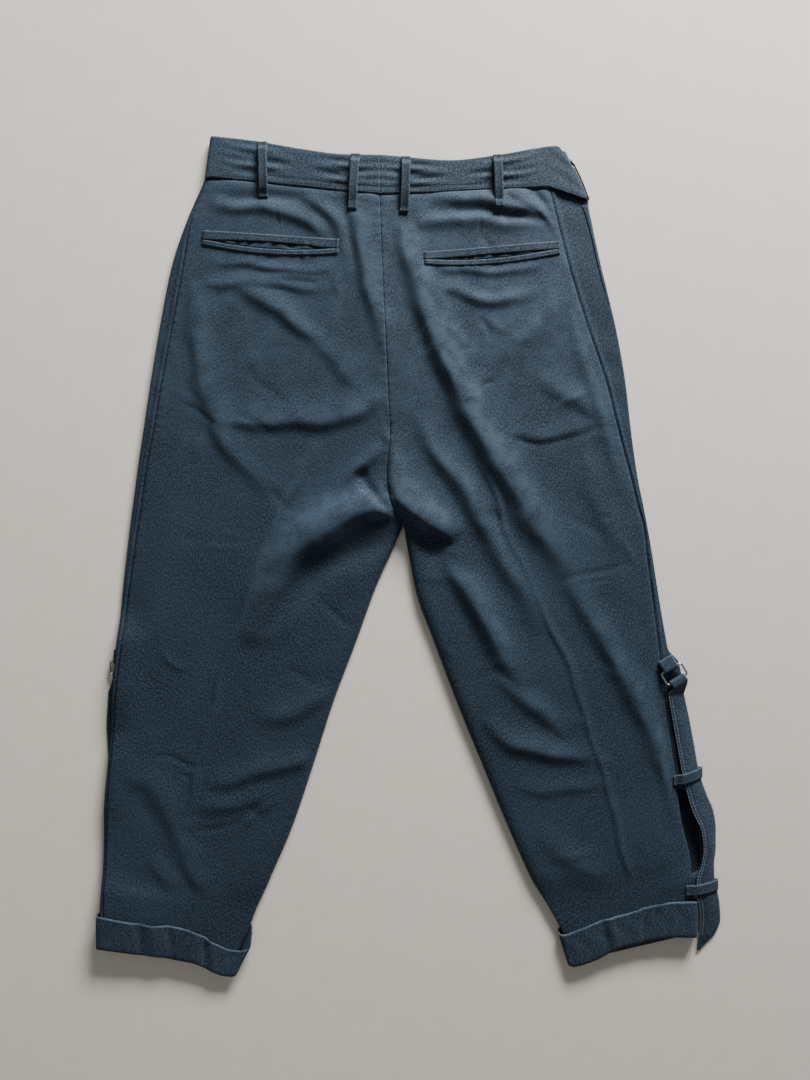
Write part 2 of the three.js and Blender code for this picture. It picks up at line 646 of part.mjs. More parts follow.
function mouthCutter(pocket) {
  const inset = 0.4;
  const upper = MOUTH_STEPS.map((t) => mouthLine(pocket, t, mouthRise(pocket, t) + inset));
  const lower = MOUTH_STEPS.map((t) => mouthLine(pocket, t, mouthDroop(pocket, t) - inset));
  const outline = [...upper, ...lower.reverse()].map(([x, y]) => new THREE.Vector2(x, y));
  return new THREE.ExtrudeGeometry(new THREE.Shape(outline), { depth: 40, bevelEnabled: false });
}

function pocketLayer(side, edges, height, thickness) {
  const pocket = BACK_POCKETS[side];
  const under = MOUTH_STEPS.map((t) =>
    [0, 0.5, 1].map((v) => {
      const [x, y] = mouthLine(pocket, t, mix(edges.from(t), edges.to(t), v));
      return [x, y, heightOn(backGrid[side], x, y) + height];
    }),
  );
  return layer(under, thickness);
}

function backPocket(side) {
  const pocket = BACK_POCKETS[side];
  const upper = {
    from: (t) => Math.max(mouthRise(pocket, t) - WELT.over, BUTT),
    to: () => pocket.rise + WELT.upper,
  };
  const lower = {
    from: (t) => Math.min(mouthDroop(pocket, t) + WELT.over, -BUTT),
    to: (t) => mouthDroop(pocket, t) - WELT.lower,
  };
  const facing = {
    from: () => WELT.facing,
    to: () => -WELT.facing,
  };
  const sunk = -TWILL - GAP - WELT.facingThick - WELT.facingDrop;
  return [
    piece(`pocket_upper_welt_${side}`, pocketLayer(side, upper, GAP, TRIM_CLOTH), cloth.trim),
    piece(`pocket_lower_welt_${side}`, pocketLayer(side, lower, GAP, TRIM_CLOTH), cloth.trim),
    piece(`pocket_facing_${side}`, pocketLayer(side, facing, sunk, WELT.facingThick), cloth.trim),
  ];
}

function backPanel(side) {
  const panel = wall(backGrid[side], backUnder(side));
  return piece(`back_${side}`, cut(panel, mouthCutter(BACK_POCKETS[side])), cloth.twill);
}

// ---------------------------------------------------------------- front panels
// The fly: the left front laps over the right one, which is lifted by this much inside it.
const flyOpen = (y) => ease(y, FLY.bottom, FLY.top);
const FLY_LIFT = TWILL + GAP + FLY.zipThick + GAP;

function frontInner(side, leg, down) {
  const lap = side === "left" ? FLY.lap - BUTT : -FLY.under + BUTT;
  const butt = side === "left" ? -BUTT : BUTT;
  const open = down < legs[side].crotchDown ? flyOpen(leg.front.y) : 0;
  return { x: leg.front.x + butt + lap * open, y: leg.front.y };
}

function frontLift(side, leg, x, y, down) {
  const under = underLift(side, x, y) + HEM_LIFT * leg.hem;
  if (side === "left" || down > legs.right.crotchDown) return under;
  const nearCentre = 1 - ease(x - leg.front.x, FLY.lap + 2, FLY.lap + 16);
  return under + FLY_LIFT * nearCentre * ease(y, FLY.clear, FLY.bottom - 2);
}

const FOLD_STEPS = [-90, -54, -18, 18, 54, 90].map((degrees) => THREE.MathUtils.degToRad(degrees));
const FROM_FOLD = [14, 31, 54];
const ACROSS_FRONT = [0.25, 0.5, 0.75];
const FROM_CENTRE = { left: [30, 15, 0], right: [47, 29, 0] };

// One section of a front, from its centre or inseam edge under the leg, round the side fold
// and up onto the strip beside the side seam: outer and inner face.
function frontSection(side, down) {
  const leg = legAt(side, down);
  const inner = frontInner(side, leg, down);
  const fold = leg.fold;
  const reach = Math.hypot(inner.x - fold.x, inner.y - fold.y);
  const ux = (inner.x - fold.x) / reach;
  const uy = (inner.y - fold.y) / reach;
  const radius = leg.loft / 2;
  const flat = [
    ...FROM_CENTRE[side].map((d) => reach - d),
    ...ACROSS_FRONT.map((t) => mix(reach - FROM_CENTRE[side][0], FROM_FOLD[2], t)),
    ...FROM_FOLD,
  ].sort((a, b) => b - a);
  const outer = [];
  const within = [];
  for (const distance of flat) {
    const x = fold.x + ux * distance;
    const y = fold.y + uy * distance;
    const z = frontLift(side, leg, x, y, down);
    outer.push([x, y, z]);
    within.push([x, y, z + TWILL]);
  }
  const foldLift = frontLift(side, leg, fold.x, fold.y, down);
  for (const angle of FOLD_STEPS) {
    const place = (r) => [
      fold.x + ux * (radius - r * Math.cos(angle)),
      fold.y + uy * (radius - r * Math.cos(angle)),
      foldLift + radius + r * Math.sin(angle),
    ];
    outer.push(place(radius));
    within.push(place(radius - TWILL));
  }
  const open = side === "right" ? ventOpen(leg.seam.y) : 0;
  const seamReach = Math.hypot(leg.seam.x - fold.x, leg.seam.y - fold.y);
  const end = Math.max(seamReach + LAP - VENT.depth * open, radius + 1.2);
  const edge = {
    x: fold.x + ((leg.seam.x - fold.x) / seamReach) * end,
    y: fold.y + ((leg.seam.y - fold.y) / seamReach) * end,
  };
  for (const t of [0.5, 1]) {
    const x = mix(fold.x + ux * radius, edge.x, t);
    const y = mix(fold.y + uy * radius, edge.y, t);
    outer.push([x, y, foldLift + leg.loft]);
    within.push([x, y, foldLift + leg.loft - TWILL]);
  }
  return { outer, within };
}

function ventOpen(y) {
  const centre = (VENT.top + VENT.bottom) / 2;
  return windowed(y, centre, (VENT.top - VENT.bottom) / 2 - VENT.ramp, VENT.ramp);
}

const FRONT_STEP = 40;
const frontRows = { left: rowsDown("left", FRONT_STEP), right: rowsDown("right", FRONT_STEP) };

function frontPanel(side) {
  const sections = frontRows[side].map((down) => frontSection(side, down));
  const lowered = (row) => row.map(([x, y, z]) => [x, y - GAP, z]);
  const below = (grid) => [lowered(grid[0]), ...grid.slice(1)];
  const outer = below(sections.map((section) => section.outer));
  const within = below(sections.map((section) => section.within));
  return piece(`front_${side}`, wall(outer, within), cloth.twill);
}

// A point on the outer face of a front, measured round from its side seam.
function onFront(side, down, distance, raise) {
  const leg = legAt(side, down);
  const inner = frontInner(side, leg, down);
  const reach = Math.hypot(inner.x - leg.fold.x, inner.y - leg.fold.y);
  const ux = (inner.x - leg.fold.x) / reach;
  const uy = (inner.y - leg.fold.y) / reach;
  const radius = leg.loft / 2;
  const strip = Math.hypot(leg.seam.x - leg.fold.x, leg.seam.y - leg.fold.y) - radius;
  const lift = underLift(side, leg.fold.x, leg.fold.y);
  const turn = clamp((distance - strip) / radius, 0, Math.PI);
  const past = distance - strip - Math.PI * radius;
  if (past > 0) {
    const x = leg.fold.x + ux * (radius + past);
    const y = leg.fold.y + uy * (radius + past);
    return [x, y, frontLift(side, leg, x, y, down) - raise];
  }
  const r = radius + raise;
  const flat = Math.max(strip - distance, 0);
  const away = radius - r * Math.sin(turn) + flat;
  return [
    leg.fold.x + ux * away,
    leg.fold.y + uy * away,
    lift + radius + r * Math.cos(turn),
  ];
}

function pocketEdge(side) {
  const rows = Array.from({ length: 8 }, (_, i) => i / 7);
  const grid = (raise) => rows.map((t) => {
    const down = POCKET_EDGE.from + POCKET_EDGE.length * t;
    const at = mix(POCKET_EDGE.atTop, POCKET_EDGE.atFoot, t);
    return [0, 0.33, 0.66, 1].map((v) => onFront(side, down, at + POCKET_EDGE.wide * v, raise));
  });
  return piece(`front_pocket_edge_${side}`, wall(grid(GAP + 1.1), grid(GAP + 0.1)), cloth.trim);
}

// ---------------------------------------------------------------- waistband
const topEdge = curveOf(TOP_EDGE, "x", "y");
const BACK_STATIONS = [1, 0.86, 0.72, 0.58, 0.44, 0.3, 0.15, 0];
const FRONT_STATIONS = [0, 0.05, 0.1, 0.18, 0.25, 0.5, 0.75];

function bandStations(side) {
  const radius = BAND_TOP / 2;
  const leg = legAt(side, 0);
  const sign = side === "left" ? -1 : 1;
  const fold = BAND_FOLD[side];
  const stations = [];
  for (const across of BACK_STATIONS) {
    const x = mix(leg.seam.x, leg.inner.x, across) + (across === 1 ? sign * BUTT : 0);
    const y = mix(leg.seam.y, leg.inner.y, across);
    stations.push({ seam: [x, y], top: [x, topEdge(x)], z: BAND_TOP });
  }
  const end = frontInner(side, leg, 0);
  const slope = (end.y - fold.seam[1]) / Math.abs(end.x - fold.seam[0]);
  const strip = Math.hypot(leg.fold.x - leg.seam.x, leg.fold.y - leg.seam.y);
  if (strip > 20) {
    const x = mix(leg.seam.x, fold.seam[0] - sign * radius, 0.5);
    const y = mix(leg.seam.y, fold.seam[1] + slope * radius, 0.5);
    stations.push({ seam: [x, y], top: [x - 8, topEdge(x - 8)], z: BAND_TOP });
  }
  const arc = [90, 60, 30, 0, -30, -60].map((degrees) => THREE.MathUtils.degToRad(degrees));
  for (const angle of arc) {
    const inset = radius * (1 - Math.cos(angle));
    const seam = [fold.seam[0] - sign * inset, fold.seam[1] + slope * inset];
    const top = [fold.top[0] - sign * inset, fold.top[1]];
    stations.push({ seam, top, z: radius + radius * Math.sin(angle) });
  }
  const begin = { x: fold.seam[0] - sign * radius, y: fold.seam[1] + slope * radius };
  const inside = BAND_CLOTH + GAP + HOOK.thick + GAP;
  const nearEnd = side === "right" ? [FLY.lap + 18, FLY.lap + 10, FLY.lap + 3, 2] : [];
  const lapStations = nearEnd.map((x) => (x - begin.x) / (end.x - begin.x));
  for (const t of [...FRONT_STATIONS, ...lapStations, 1]) {
    const seam = [mix(begin.x, end.x, t), mix(begin.y, end.y, t)];
    const top = [
      mix(fold.top[0] - sign * radius, end.x, t),
      mix(fold.top[1], FRONT_BAND_TOP.y, t),
    ];
    const lapped = 1 - ease(seam[0], FLY.lap + 3, FLY.lap + 18);
    const z = side === "left" ? loopLift(seam[0], FRONT_WAIST.y + 20) : inside * lapped;
    stations.push({ seam, top, z });
  }
  return stations;
}

function waistband(side) {
  const outer = bandStations(side).map(({ seam, top, z }) =>
    [0, 0.5, 1].map((v) => [mix(seam[0], top[0], v), mix(seam[1], top[1], v), z]));
  const inner = offsetGrid(outer, BAND_CLOTH, side === "left" ? 1 : -1);
  return piece(`waistband_${side}`, wall(outer, inner), cloth.band);
}

// ---------------------------------------------------------------- belt loops
const LOOP_PROFILE = table(["along", "rise"], [
  [0, 0],
  [0.08, 0],
  [0.15, 1],
  [0.38, 1.04],
  [0.62, 1.04],
  [0.84, 1],
  [0.92, 0],
  [1, 0],
]);

function backLoop(row) {
  const bandZ = BAND_TOP + GAP;
  const side = row.footX < legs.left.rows[0].innerX ? "left" : "right";
  const footZ = heightOn(backGrid[side], row.footX, row.footY) + GAP + 0.3;
  const length = Math.hypot(row.footX - row.topX, row.footY - row.topY);
  const across = [(row.topY - row.footY) / length, (row.footX - row.topX) / length];
  const under = LOOP_PROFILE.map(({ along, rise }) =>
    [-0.5, 0.5].map((v) => [
      mix(row.topX, row.footX, along) + across[0] * v * LOOP_WIDTH,
      mix(row.topY, row.footY, along) + across[1] * v * LOOP_WIDTH,
      along > 0.9 ? footZ : bandZ + rise * LOOP_CLEAR,
    ]),
  );
  return piece(row.name, layer(under, LOOP_CLOTH), cloth.trim);
}

function frontLoopLeft() {
  const x = FRONT_LOOP_LEFT_X;
  const t = (x - BAND_FOLD.left.seam[0]) / (FRONT_WAIST.x - BAND_FOLD.left.seam[0]);
  const top = mix(BAND_FOLD.left.top[1], FRONT_BAND_TOP.y, t) - 2;
  const under = LOOP_PROFILE.map(({ along }) =>
    [-0.5, 0.5].map((v) => [x + v * LOOP_WIDTH, top - along * FRONT_LOOP_LENGTH, GAP / 2]),
  );
  return piece("belt_loop_front_left", layer(under, LOOP_CLOTH), cloth.trim);
}

// The right front loop stands edge-on at the side fold of the waistband.
function frontLoopRight() {
  const fold = BAND_FOLD.right;
  const start = new THREE.Vector2(...fold.top);
  const end = new THREE.Vector2(...fold.seam);
  const along = end.clone().sub(start).normalize();
  const out = new THREE.Vector2(-along.y, along.x);
  const middle = BAND_TOP / 2;
  const { from, length, half } = FRONT_LOOP_RIGHT;
  const place = (t, rise) => start.clone()
    .addScaledVector(along, from + length * t)
    .addScaledVector(out, GAP + rise * PRESSED_LOOP_RISE);
  const grid = (extra) => LOOP_PROFILE.map(({ along: t, rise }) => {
    const p = place(t, rise).addScaledVector(out, extra + 0.3);
    return [[p.x, p.y, middle - half], [p.x, p.y, middle + half]];
  });
  return piece("belt_loop_front_right", wall(grid(LOOP_CLOTH), grid(0)), cloth.trim);
}

// ---------------------------------------------------------------- fly closing
function flyZip() {
  const z = TWILL + GAP;
  const rows = [FLY.top + 2, 260, 300, FRONT_WAIST.y - 8];
  const under = rows.map((y) => {
    const centre = mix(FRONT_WAIST.x, CROTCH_X, (FRONT_WAIST.y - y) / (FRONT_WAIST.y - CROTCH_Y));
    return [centre - FLY.zipWidth / 2 + 3, centre + FLY.zipWidth / 2 + 3].map((x) => [x, y, z]);
  });
  return piece("fly_zip", layer(under, FLY.zipThick), metal.zip);
}

function waistHook() {
  const z = BAND_CLOTH + GAP;
  const plate = new THREE.BoxGeometry(HOOK.width, HOOK.height, HOOK.thick);
  const mesh = piece("waist_hook", plate, metal.ring);
  mesh.position.set(FRONT_WAIST.x + 3, HOOK.y, z + HOOK.thick / 2);
  return mesh;
}

// ---------------------------------------------------------------- cuffs
function cuff(side) {
  const { back, innerFold, outerFold, front } = CUFFS[side];
  const hemTop = (x, y) => {
    const { length } = legs[side];
    let down = length;
    let across = 0;
    for (let pass = 0; pass < 4; pass += 1) {
      const leg = legAt(side, down);
      across = clamp((x - leg.seam.x) / (leg.inner.x - leg.seam.x), 0, 1);
      down = clamp(down + mix(leg.seam.y, leg.inner.y, across) - y, length - 50, length);
    }
    return backPoint(side, legAt(side, down), across)[2] + GAP + CUFF_CLOTH;
  };
  const ends = (row, z, v) => {
    const x = mix(row.footX, row.topX, v);
    const y = mix(row.footY, row.topY, v);
    return [x, y, z(x, y)];
  };
  const round = (fold, from, to, v) => [60, 20, -20, -60].map((degrees) => {
    const angle = THREE.MathUtils.degToRad(degrees);
    const x = mix(fold.footX, fold.topX, v);
    const inward = Math.sign(mix(from.footX, from.topX, v) - x);
    const base = side === "left" ? strapLift(x, mix(fold.footY, fold.topY, v)) : 0;
    const upper = hemTop(x, mix(fold.footY, fold.topY, v));
    const radius = (upper - base) / 2;
    const share = (1 - Math.sin(angle)) / 2;
    const middle = mix(fold.footY, fold.topY, v);
    const fromY = mix(from.footY, from.topY, v);
    const toY = mix(to.footY, to.topY, v);
    const y = share < 0.5 ? mix(fromY, middle, share * 2) : mix(middle, toY, share * 2 - 1);
    return [x + inward * radius * (1 - Math.cos(angle)), y, base + radius + radius * Math.sin(angle)];
  });
  const levels = [0, 0.5, 1];
  const loops = levels.map((v) => [
    ...back.map((row) => ends(row, hemTop, v)),
    ...round(innerFold, back[back.length - 1], front[0], v),
    ...front.map((row) => ends(row, (x, y) => (side === "left" ? strapLift(x, y) : 0), v)),
    ...round(outerFold, front[front.length - 1], back[0], v).reverse()
      .map((p, i, all) => [all[all.length - 1 - i][0], p[1], all[i][2]]),
  ]);
  const outer = loops[0].map((_, i) => levels.map((__, j) => loops[j][i]));
  const inner = offsetGrid(outer, CUFF_CLOTH, side === "left" ? -1 : 1, true);
  return piece(`cuff_${side}`, wall(outer, inner, true), cloth.twill);
}

// ---------------------------------------------------------------- ring, tab, strap, keepers
function ringFrame(side) {
  const at = RING_AT[side];
  const along = new THREE.Vector3(at.alongX, at.alongY, 0).normalize();
  const down = side === "right"
    ? new THREE.Vector3(along.y, -along.x, 0)
    : new THREE.Vector3(-along.y, along.x, 0);
  return { centre: new THREE.Vector3(at.x, at.y, at.z), along, down };
}

// A bent wire: a loop of even points on a rectangle with round corners, tubed.
function ring(side) {
  const { centre, along, down } = ringFrame(side);
  const { long, short, corner, wire } = RING;
  const shape = new THREE.Shape();
  shape.moveTo(long, -short + corner);
  shape.lineTo(long, short - corner);
  shape.absarc(long - corner, short - corner, corner, 0, Math.PI / 2);
  shape.lineTo(-long + corner, short);
  shape.absarc(-long + corner, short - corner, corner, Math.PI / 2, Math.PI);
  shape.lineTo(-long, -short + corner);
  shape.absarc(-long + corner, -short + corner, corner, Math.PI, Math.PI * 1.5);
  shape.lineTo(long - corner, -short);
  shape.absarc(long - corner, -short + corner, corner, Math.PI * 1.5, Math.PI * 2);
  const points = shape.getSpacedPoints(30).slice(0, 30);
  const sides = 8;
  const position = [];
  points.forEach((p, i) => {
    const next = points[(i + 1) % points.length];
    const before = points[(i + points.length - 1) % points.length];
    const tangent = next.clone().sub(before).normalize();
    const out = new THREE.Vector2(tangent.y, -tangent.x);
    for (let k = 0; k < sides; k += 1) {
      const turn = (2 * Math.PI * k) / sides;
      const q = p.clone().addScaledVector(out, wire * Math.cos(turn));
      const place = centre.clone().addScaledVector(along, q.x).addScaledVector(down, q.y);
      position.push(place.x, place.y, place.z + wire * Math.sin(turn));
    }
  });
  const index = [];
  for (let i = 0; i < points.length; i += 1) {
    for (let k = 0; k < sides; k += 1) {
      const a = i * sides + k;
      const b = i * sides + ((k + 1) % sides);
      const c = ((i + 1) % points.length) * sides + ((k + 1) % sides);
      const d = ((i + 1) % points.length) * sides + k;
      index.push(a, b, c, a, c, d);
    }
  }
  return piece(`strap_ring_${side}`, facingOut(position, index), metal.ring);
}

// Rows of cloth wrapped round one bar of the ring: towards (1) or away from (-1) the strap.
function wrapRows(side, toward, width, thickness, free, freeTop, freeBottom) {
  const { centre, along, down } = ringFrame(side);
  const bar = centre.clone().addScaledVector(down, toward * RING.short);
  const radius = RING.wire + GAP + thickness;
  const turns = [90, 45, 0, -45, -90].map((degrees) => THREE.MathUtils.degToRad(degrees));
  const path = [
    { away: free, z: freeTop },
    ...turns.map((a) => ({ away: -radius * Math.cos(a), z: bar.z + radius * Math.sin(a) })),
    { away: free, z: freeBottom },
  ];
  return path.map(({ away, z }) =>
    [-0.5, 0, 0.5].map((v) => {
      const p = bar.clone().addScaledVector(down, toward * away).addScaledVector(along, v * width);
      return [p.x, p.y, z];
    }),
  );
}

function strapTab(side) {
  const { z } = RING_AT[side];
  const low = z - RING.wire - GAP - TRIM_CLOTH;
  const high = low + 2 * TRIM_CLOTH + GAP;
  const outer = wrapRows(side, -1, TAB_WIDTH, TRIM_CLOTH, TAB_LENGTH, high, low);
  const inner = offsetGrid(outer, TRIM_CLOTH, side === "right" ? -1 : 1);
  return piece(`strap_tab_${side}`, wall(outer, inner), cloth.trim);
}

function strapSection(side, row) {
  const steps = [0, 0.25, 0.5, 0.75, 1];
  if (side === "right") {
    return steps.map((v) => [
      mix(row.innerX, row.outerX, v),
      row.y,
      mix(row.innerZ, row.outerZ, v) + row.crown * 4 * v * (1 - v),
    ]);
  }
  return steps.map((v) => [row.outerX + row.width * (1 - v), row.y, leftStrapTop(row.y)]);
}

function leftStrapRows() {
  const down = LEFT_STRAP.map((row) => -row.y);
  const outerX = smooth(down, LEFT_STRAP.map((row) => row.outerX));
  const width = smooth(down, LEFT_STRAP.map((row) => row.width));
  return LEFT_STRAP_ROWS.map((y) => ({ y, outerX: outerX(-y), width: width(-y) }));
}

function strap(side) {
  const z = RING_AT[side].z;
  const radius = RING.wire + GAP + STRAP_CLOTH;
  const head = wrapRows(side, 1, HEAD_WIDTH, STRAP_CLOTH, HEAD_LENGTH, z + radius, z - radius).reverse();
  const wide = head.map(([a, b, c]) => {
    const half = (p, q) => p.map((value, k) => (value + q[k]) / 2);
    return [a, half(a, b), b, half(b, c), c];
  });
  const body = (side === "right" ? RIGHT_STRAP : leftStrapRows()).map((row) => strapSection(side, row));
  const outer = [...wide, ...body];
  const inner = offsetGrid(outer, STRAP_CLOTH, side === "right" ? -1 : 1);
  return piece(`strap_${side}`, wall(outer, inner), cloth.trim);
}

// The strap's section at one height, interpolated between its rows.
function rightStrapAt(y) {
  const down = RIGHT_STRAP.map((row) => -row.y);
  const value = (name) => smooth(down, RIGHT_STRAP.map((row) => row[name]))(-y);
  return {
    y,
    innerX: value("innerX"),
    outerX: value("outerX"),
    innerZ: value("innerZ"),
    outerZ: value("outerZ"),
    crown: value("crown"),
  };
}

function keeperRight(row) {
  const middleY = (row.startY + row.endY) / 2;
  const section = rightStrapAt(middleY);
  const over = GAP + 0.8;
  const top = (v) => {
    const [x, , z] = strapSection("right", section)[v];
    return [x, z];
  };
  const startZ = heightOn(backGrid.right, row.startX + 1, row.startY) + GAP + 0.15;
  const under = section.outerZ - STRAP_CLOTH - GAP - 0.15;
  const path = [
    [row.startX, startZ],
    [row.startX + 4, startZ],
    [top(0)[0] - 1.5, top(0)[1] + over - 0.4],
    [top(0)[0] + 1, top(0)[1] + over],
    [top(1)[0], top(1)[1] + over],
    [top(2)[0], top(2)[1] + over],
    [top(3)[0], top(3)[1] + over],
    [top(4)[0] + 0.2, top(4)[1] + over],
    [top(4)[0] + over + 0.4, top(4)[1] - STRAP_CLOTH / 2],
    [top(4)[0] + 0.2, under],
    [top(4)[0] - 7, under + 0.3],
  ];
  const slant = (row.endY - row.startY) / (row.endX - row.startX);
  const inner = path.map(([x, z]) => {
    const y = row.startY + (x - row.startX) * slant;
    return [-0.5, 0.5].map((v) => [x, y + v * KEEPER_WIDTH, z]);
  });
  const outer = offsetGrid(inner, KEEPER_CLOTH, 1);
  return piece(row.name, wall(outer, inner), cloth.trim);
}

// Under the left leg a keeper is a flat loop round the strap.
function keeperLeft(row) {
  const outerX = leftStrapOuter(row.y);
  const low = GAP / 2 + KEEPER_CLOTH;
  const high = leftStrapTop(row.y) + GAP;
  const left = outerX - GAP - 0.4;
  const right = outerX + STRAP_WIDTH + GAP + 0.4;
  const path = [
    [left, low + 0.4],
    [left, high - 0.4],
    [left + 0.5, high],
    [right - 0.5, high],
    [right, high - 0.4],
    [right, low + 0.4],
    [right - 0.5, low],
    [left + 0.5, low],
  ];
  const inner = path.map(([x, z]) => [-0.5, 0.5].map((v) => [x, row.y + v * KEEPER_WIDTH, z]));
  const outer = offsetGrid(inner, KEEPER_CLOTH, 1, true);
  return piece(row.name, wall(outer, inner, true), cloth.trim);
}

// ---------------------------------------------------------------- assembly
function piece(name, geometry, material) {
  const mesh = new THREE.Mesh(geometry, material.clone());
  mesh.name = name;
  return mesh;
}

const cloth = {
  twill: new THREE.MeshStandardMaterial({ color: 0x2b3b46, roughness: 0.92, metalness: 0 }),
  band: new THREE.MeshStandardMaterial({ color: 0x334550, roughness: 0.92, metalness: 0 }),
  trim: new THREE.MeshStandardMaterial({ color: 0x2e3f4a, roughness: 0.9, metalness: 0 }),
};
const metal = {
  ring: new THREE.MeshStandardMaterial({ color: 0x8a8780, roughness: 0.35, metalness: 1 }),
  zip: new THREE.MeshStandardMaterial({ color: 0x1e2225, roughness: 0.7, metalness: 0 }),
};

const trousers = new THREE.Group();
trousers.name = "bondage_trousers";
for (const side of ["left", "right"]) {
  trousers.add(
    backPanel(side),
    ...backPocket(side),
    frontPanel(side),
    pocketEdge(side),
    waistband(side),
    cuff(side),
    ring(side),
    strapTab(side),
    strap(side),
  );
}
trousers.add(...BACK_LOOPS.map(backLoop), frontLoopLeft(), frontLoopRight());
trousers.add(...KEEPERS_RIGHT.map(keeperRight), ...KEEPERS_LEFT.map(keeperLeft));
trousers.add(flyZip(), waistHook());

export default trousers;
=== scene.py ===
# %% [markdown]
# # Bondage trousers, laid flat with the back upwards
#
# Cropped tapered trousers in charcoal twill, with turn-ups, welt pockets on the seat and
# a strap down each leg that hangs from a wire ring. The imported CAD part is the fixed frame:
# it says where every layer of cloth lies. Here each layer becomes a thin shell on the same
# form, with its creases, seams, stitches and a brushed twill finish. Everything is in
# metres; the tables below are in millimetres and turned into metres with MM.

import math

import bpy
import numpy as np
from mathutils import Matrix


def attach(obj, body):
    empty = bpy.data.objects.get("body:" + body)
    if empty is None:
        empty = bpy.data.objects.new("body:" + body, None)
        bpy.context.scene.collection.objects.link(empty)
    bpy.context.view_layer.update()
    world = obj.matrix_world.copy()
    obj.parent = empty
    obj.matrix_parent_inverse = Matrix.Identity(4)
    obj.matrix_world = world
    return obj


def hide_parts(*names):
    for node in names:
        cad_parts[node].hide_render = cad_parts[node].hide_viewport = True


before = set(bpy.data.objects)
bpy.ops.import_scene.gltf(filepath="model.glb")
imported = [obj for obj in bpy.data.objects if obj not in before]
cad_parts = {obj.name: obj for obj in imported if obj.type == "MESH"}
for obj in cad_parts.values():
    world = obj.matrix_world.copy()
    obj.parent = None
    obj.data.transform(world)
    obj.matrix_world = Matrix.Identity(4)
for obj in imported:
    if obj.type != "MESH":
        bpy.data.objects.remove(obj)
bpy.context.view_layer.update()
MM = 0.001

# %% [markdown]
# ## Camera first
#
# The trousers are seen from straight above. The lens is as wide as a small camera held at
# arm's length, so the height of the camera sets the scale. The picture is taller than it is
# wide, and Blender fits the sensor's width to the longer side, so the lens follows from the
# view of the long side.

# %% Camera
VIEW_LONG_SIDE = math.radians(67.3)
camera_data = bpy.data.cameras.new("camera")
camera_data.sensor_width = 36
camera_data.lens = 18 / math.tan(VIEW_LONG_SIDE / 2)
camera = bpy.data.objects.new("camera", camera_data)
camera.location = (-0.0049, 0.0178, 0.882)
bpy.context.scene.collection.objects.link(camera)
bpy.context.scene.camera = camera
print("lens", round(camera_data.lens, 2), "mm")

# %% [markdown]
# ## The pattern: sections of the legs
#
# A tailor would draft each leg from a few widths. A row gives the side seam, the outline
# where the front turns under at the side, and the centre back seam or the inseam. Between
# rows a monotone cubic curve is used, because it never swings past the given points.

# %% Tables of the legs
LEG_COLUMNS = ["seamX", "seamY", "foldX", "foldY", "innerX", "innerY", "loft"]


def table(names, rows):
    return {name: np.array([row[i] for row in rows], float) for i, name in enumerate(names)}


LEG_ROWS = {
    "left": table(LEG_COLUMNS, [
        [-215.5, 408.5, -221.4, 408.5, -31.9, 390.1, 6.2],
        [-235.4, 361.3, -241.9, 361.3, -30.6, 346.1, 6],
        [-243.5, 315.9, -257.0, 315.9, -28.8, 301.9, 6],
        [-254.9, 253.3, -269.5, 253.3, -25.9, 241.4, 6],
        [-266.2, 192.8, -279.7, 192.8, -23.2, 182.0, 6],
        [-274.9, 142.0, -287.3, 142.0, -21.1, 130.1, 6],
        [-283.5, 95.6, -294.3, 95.6, -24.8, 86.9, 5.6],
        [-287.8, 66.4, -298.1, 66.4, -20.5, 58.9, 5.4],
        [-290.5, 47.0, -300.8, 47.0, -7.6, 39.4, 5.2],
        [-295.9, 12.4, -305.1, 12.4, -16.7, 12.4, 5],
        [-301.9, -30.8, -310.0, -30.8, -36.2, -31.9, 4.6],
        [-308.9, -90.2, -315.4, -90.2, -57.8, -91.3, 3.8],
        [-316.4, -155.0, -320.8, -155.0, -82.6, -157.1, 3.8],
        [-321.3, -219.8, -325.1, -219.8, -103.7, -223.0, 4],
        [-326.2, -284.6, -330.5, -284.6, -128.0, -294.3, 4],
        [-327.2, -338.6, -331.0, -338.6, -153.9, -354.8, 4],
        [-328.3, -383.9, -333.2, -383.9, -173.3, -407.7, 3.8],
        [-328.9, -418.5, -334.0, -418.5, -193.5, -446.7, 3.8],
    ]),
    "right": table(LEG_COLUMNS, [
        [150.7, 398.0, 192.8, 385.0, -31.9, 390.1, 6.2],
        [160.4, 358.0, 198.2, 354.8, -30.2, 348.3, 6],
        [172.3, 311.6, 207.9, 310.5, -28.3, 302.9, 6],
        [191.2, 250.0, 223.0, 250.0, -25.4, 241.4, 6],
        [212.2, 187.4, 234.1, 187.4, -22.9, 180.9, 6],
        [225.7, 133.4, 240.3, 133.4, -21.1, 129.1, 6],
        [238.7, 84.8, 247.3, 84.8, -25.1, 86.9, 5.8],
        [245.7, 55.6, 253.3, 55.6, -20.5, 58.9, 5.6],
        [252.7, 30.8, 258.1, 30.8, -7.6, 39.4, 5.4],
        [256.0, 0.5, 263.3, 0.5, -2.2, 11.3, 5.2],
        [261.4, -41.6, 269.8, -41.6, 7.3, -38.3, 5.2],
        [267.8, -90.2, 278.1, -90.2, 26.5, -91.3, 5.4],
        [275.6, -155.0, 291.1, -155.0, 51.3, -157.1, 5.4],
        [284.9, -219.8, 301.3, -219.8, 80.5, -228.4, 5.4],
        [293.2, -284.6, 308.3, -284.6, 109.1, -297.5, 5.4],
        [303.5, -333.2, 309.7, -333.2, 135.0, -354.8, 5],
        [303.0, -376.4, 308.0, -376.4, 163.8, -408.5, 3.8],
        [303.0, -406.6, 308.0, -406.6, 174.6, -437.4, 3.8],
    ]),
}
CROTCH_X, CROTCH_Y = -7.6, 39.4
FRONT_WAIST = (0.0, 364.5)
print(len(LEG_ROWS["left"]["seamY"]), "sections down each leg")

# %% Curves
def mix(a, b, t):
    return a + (b - a) * t


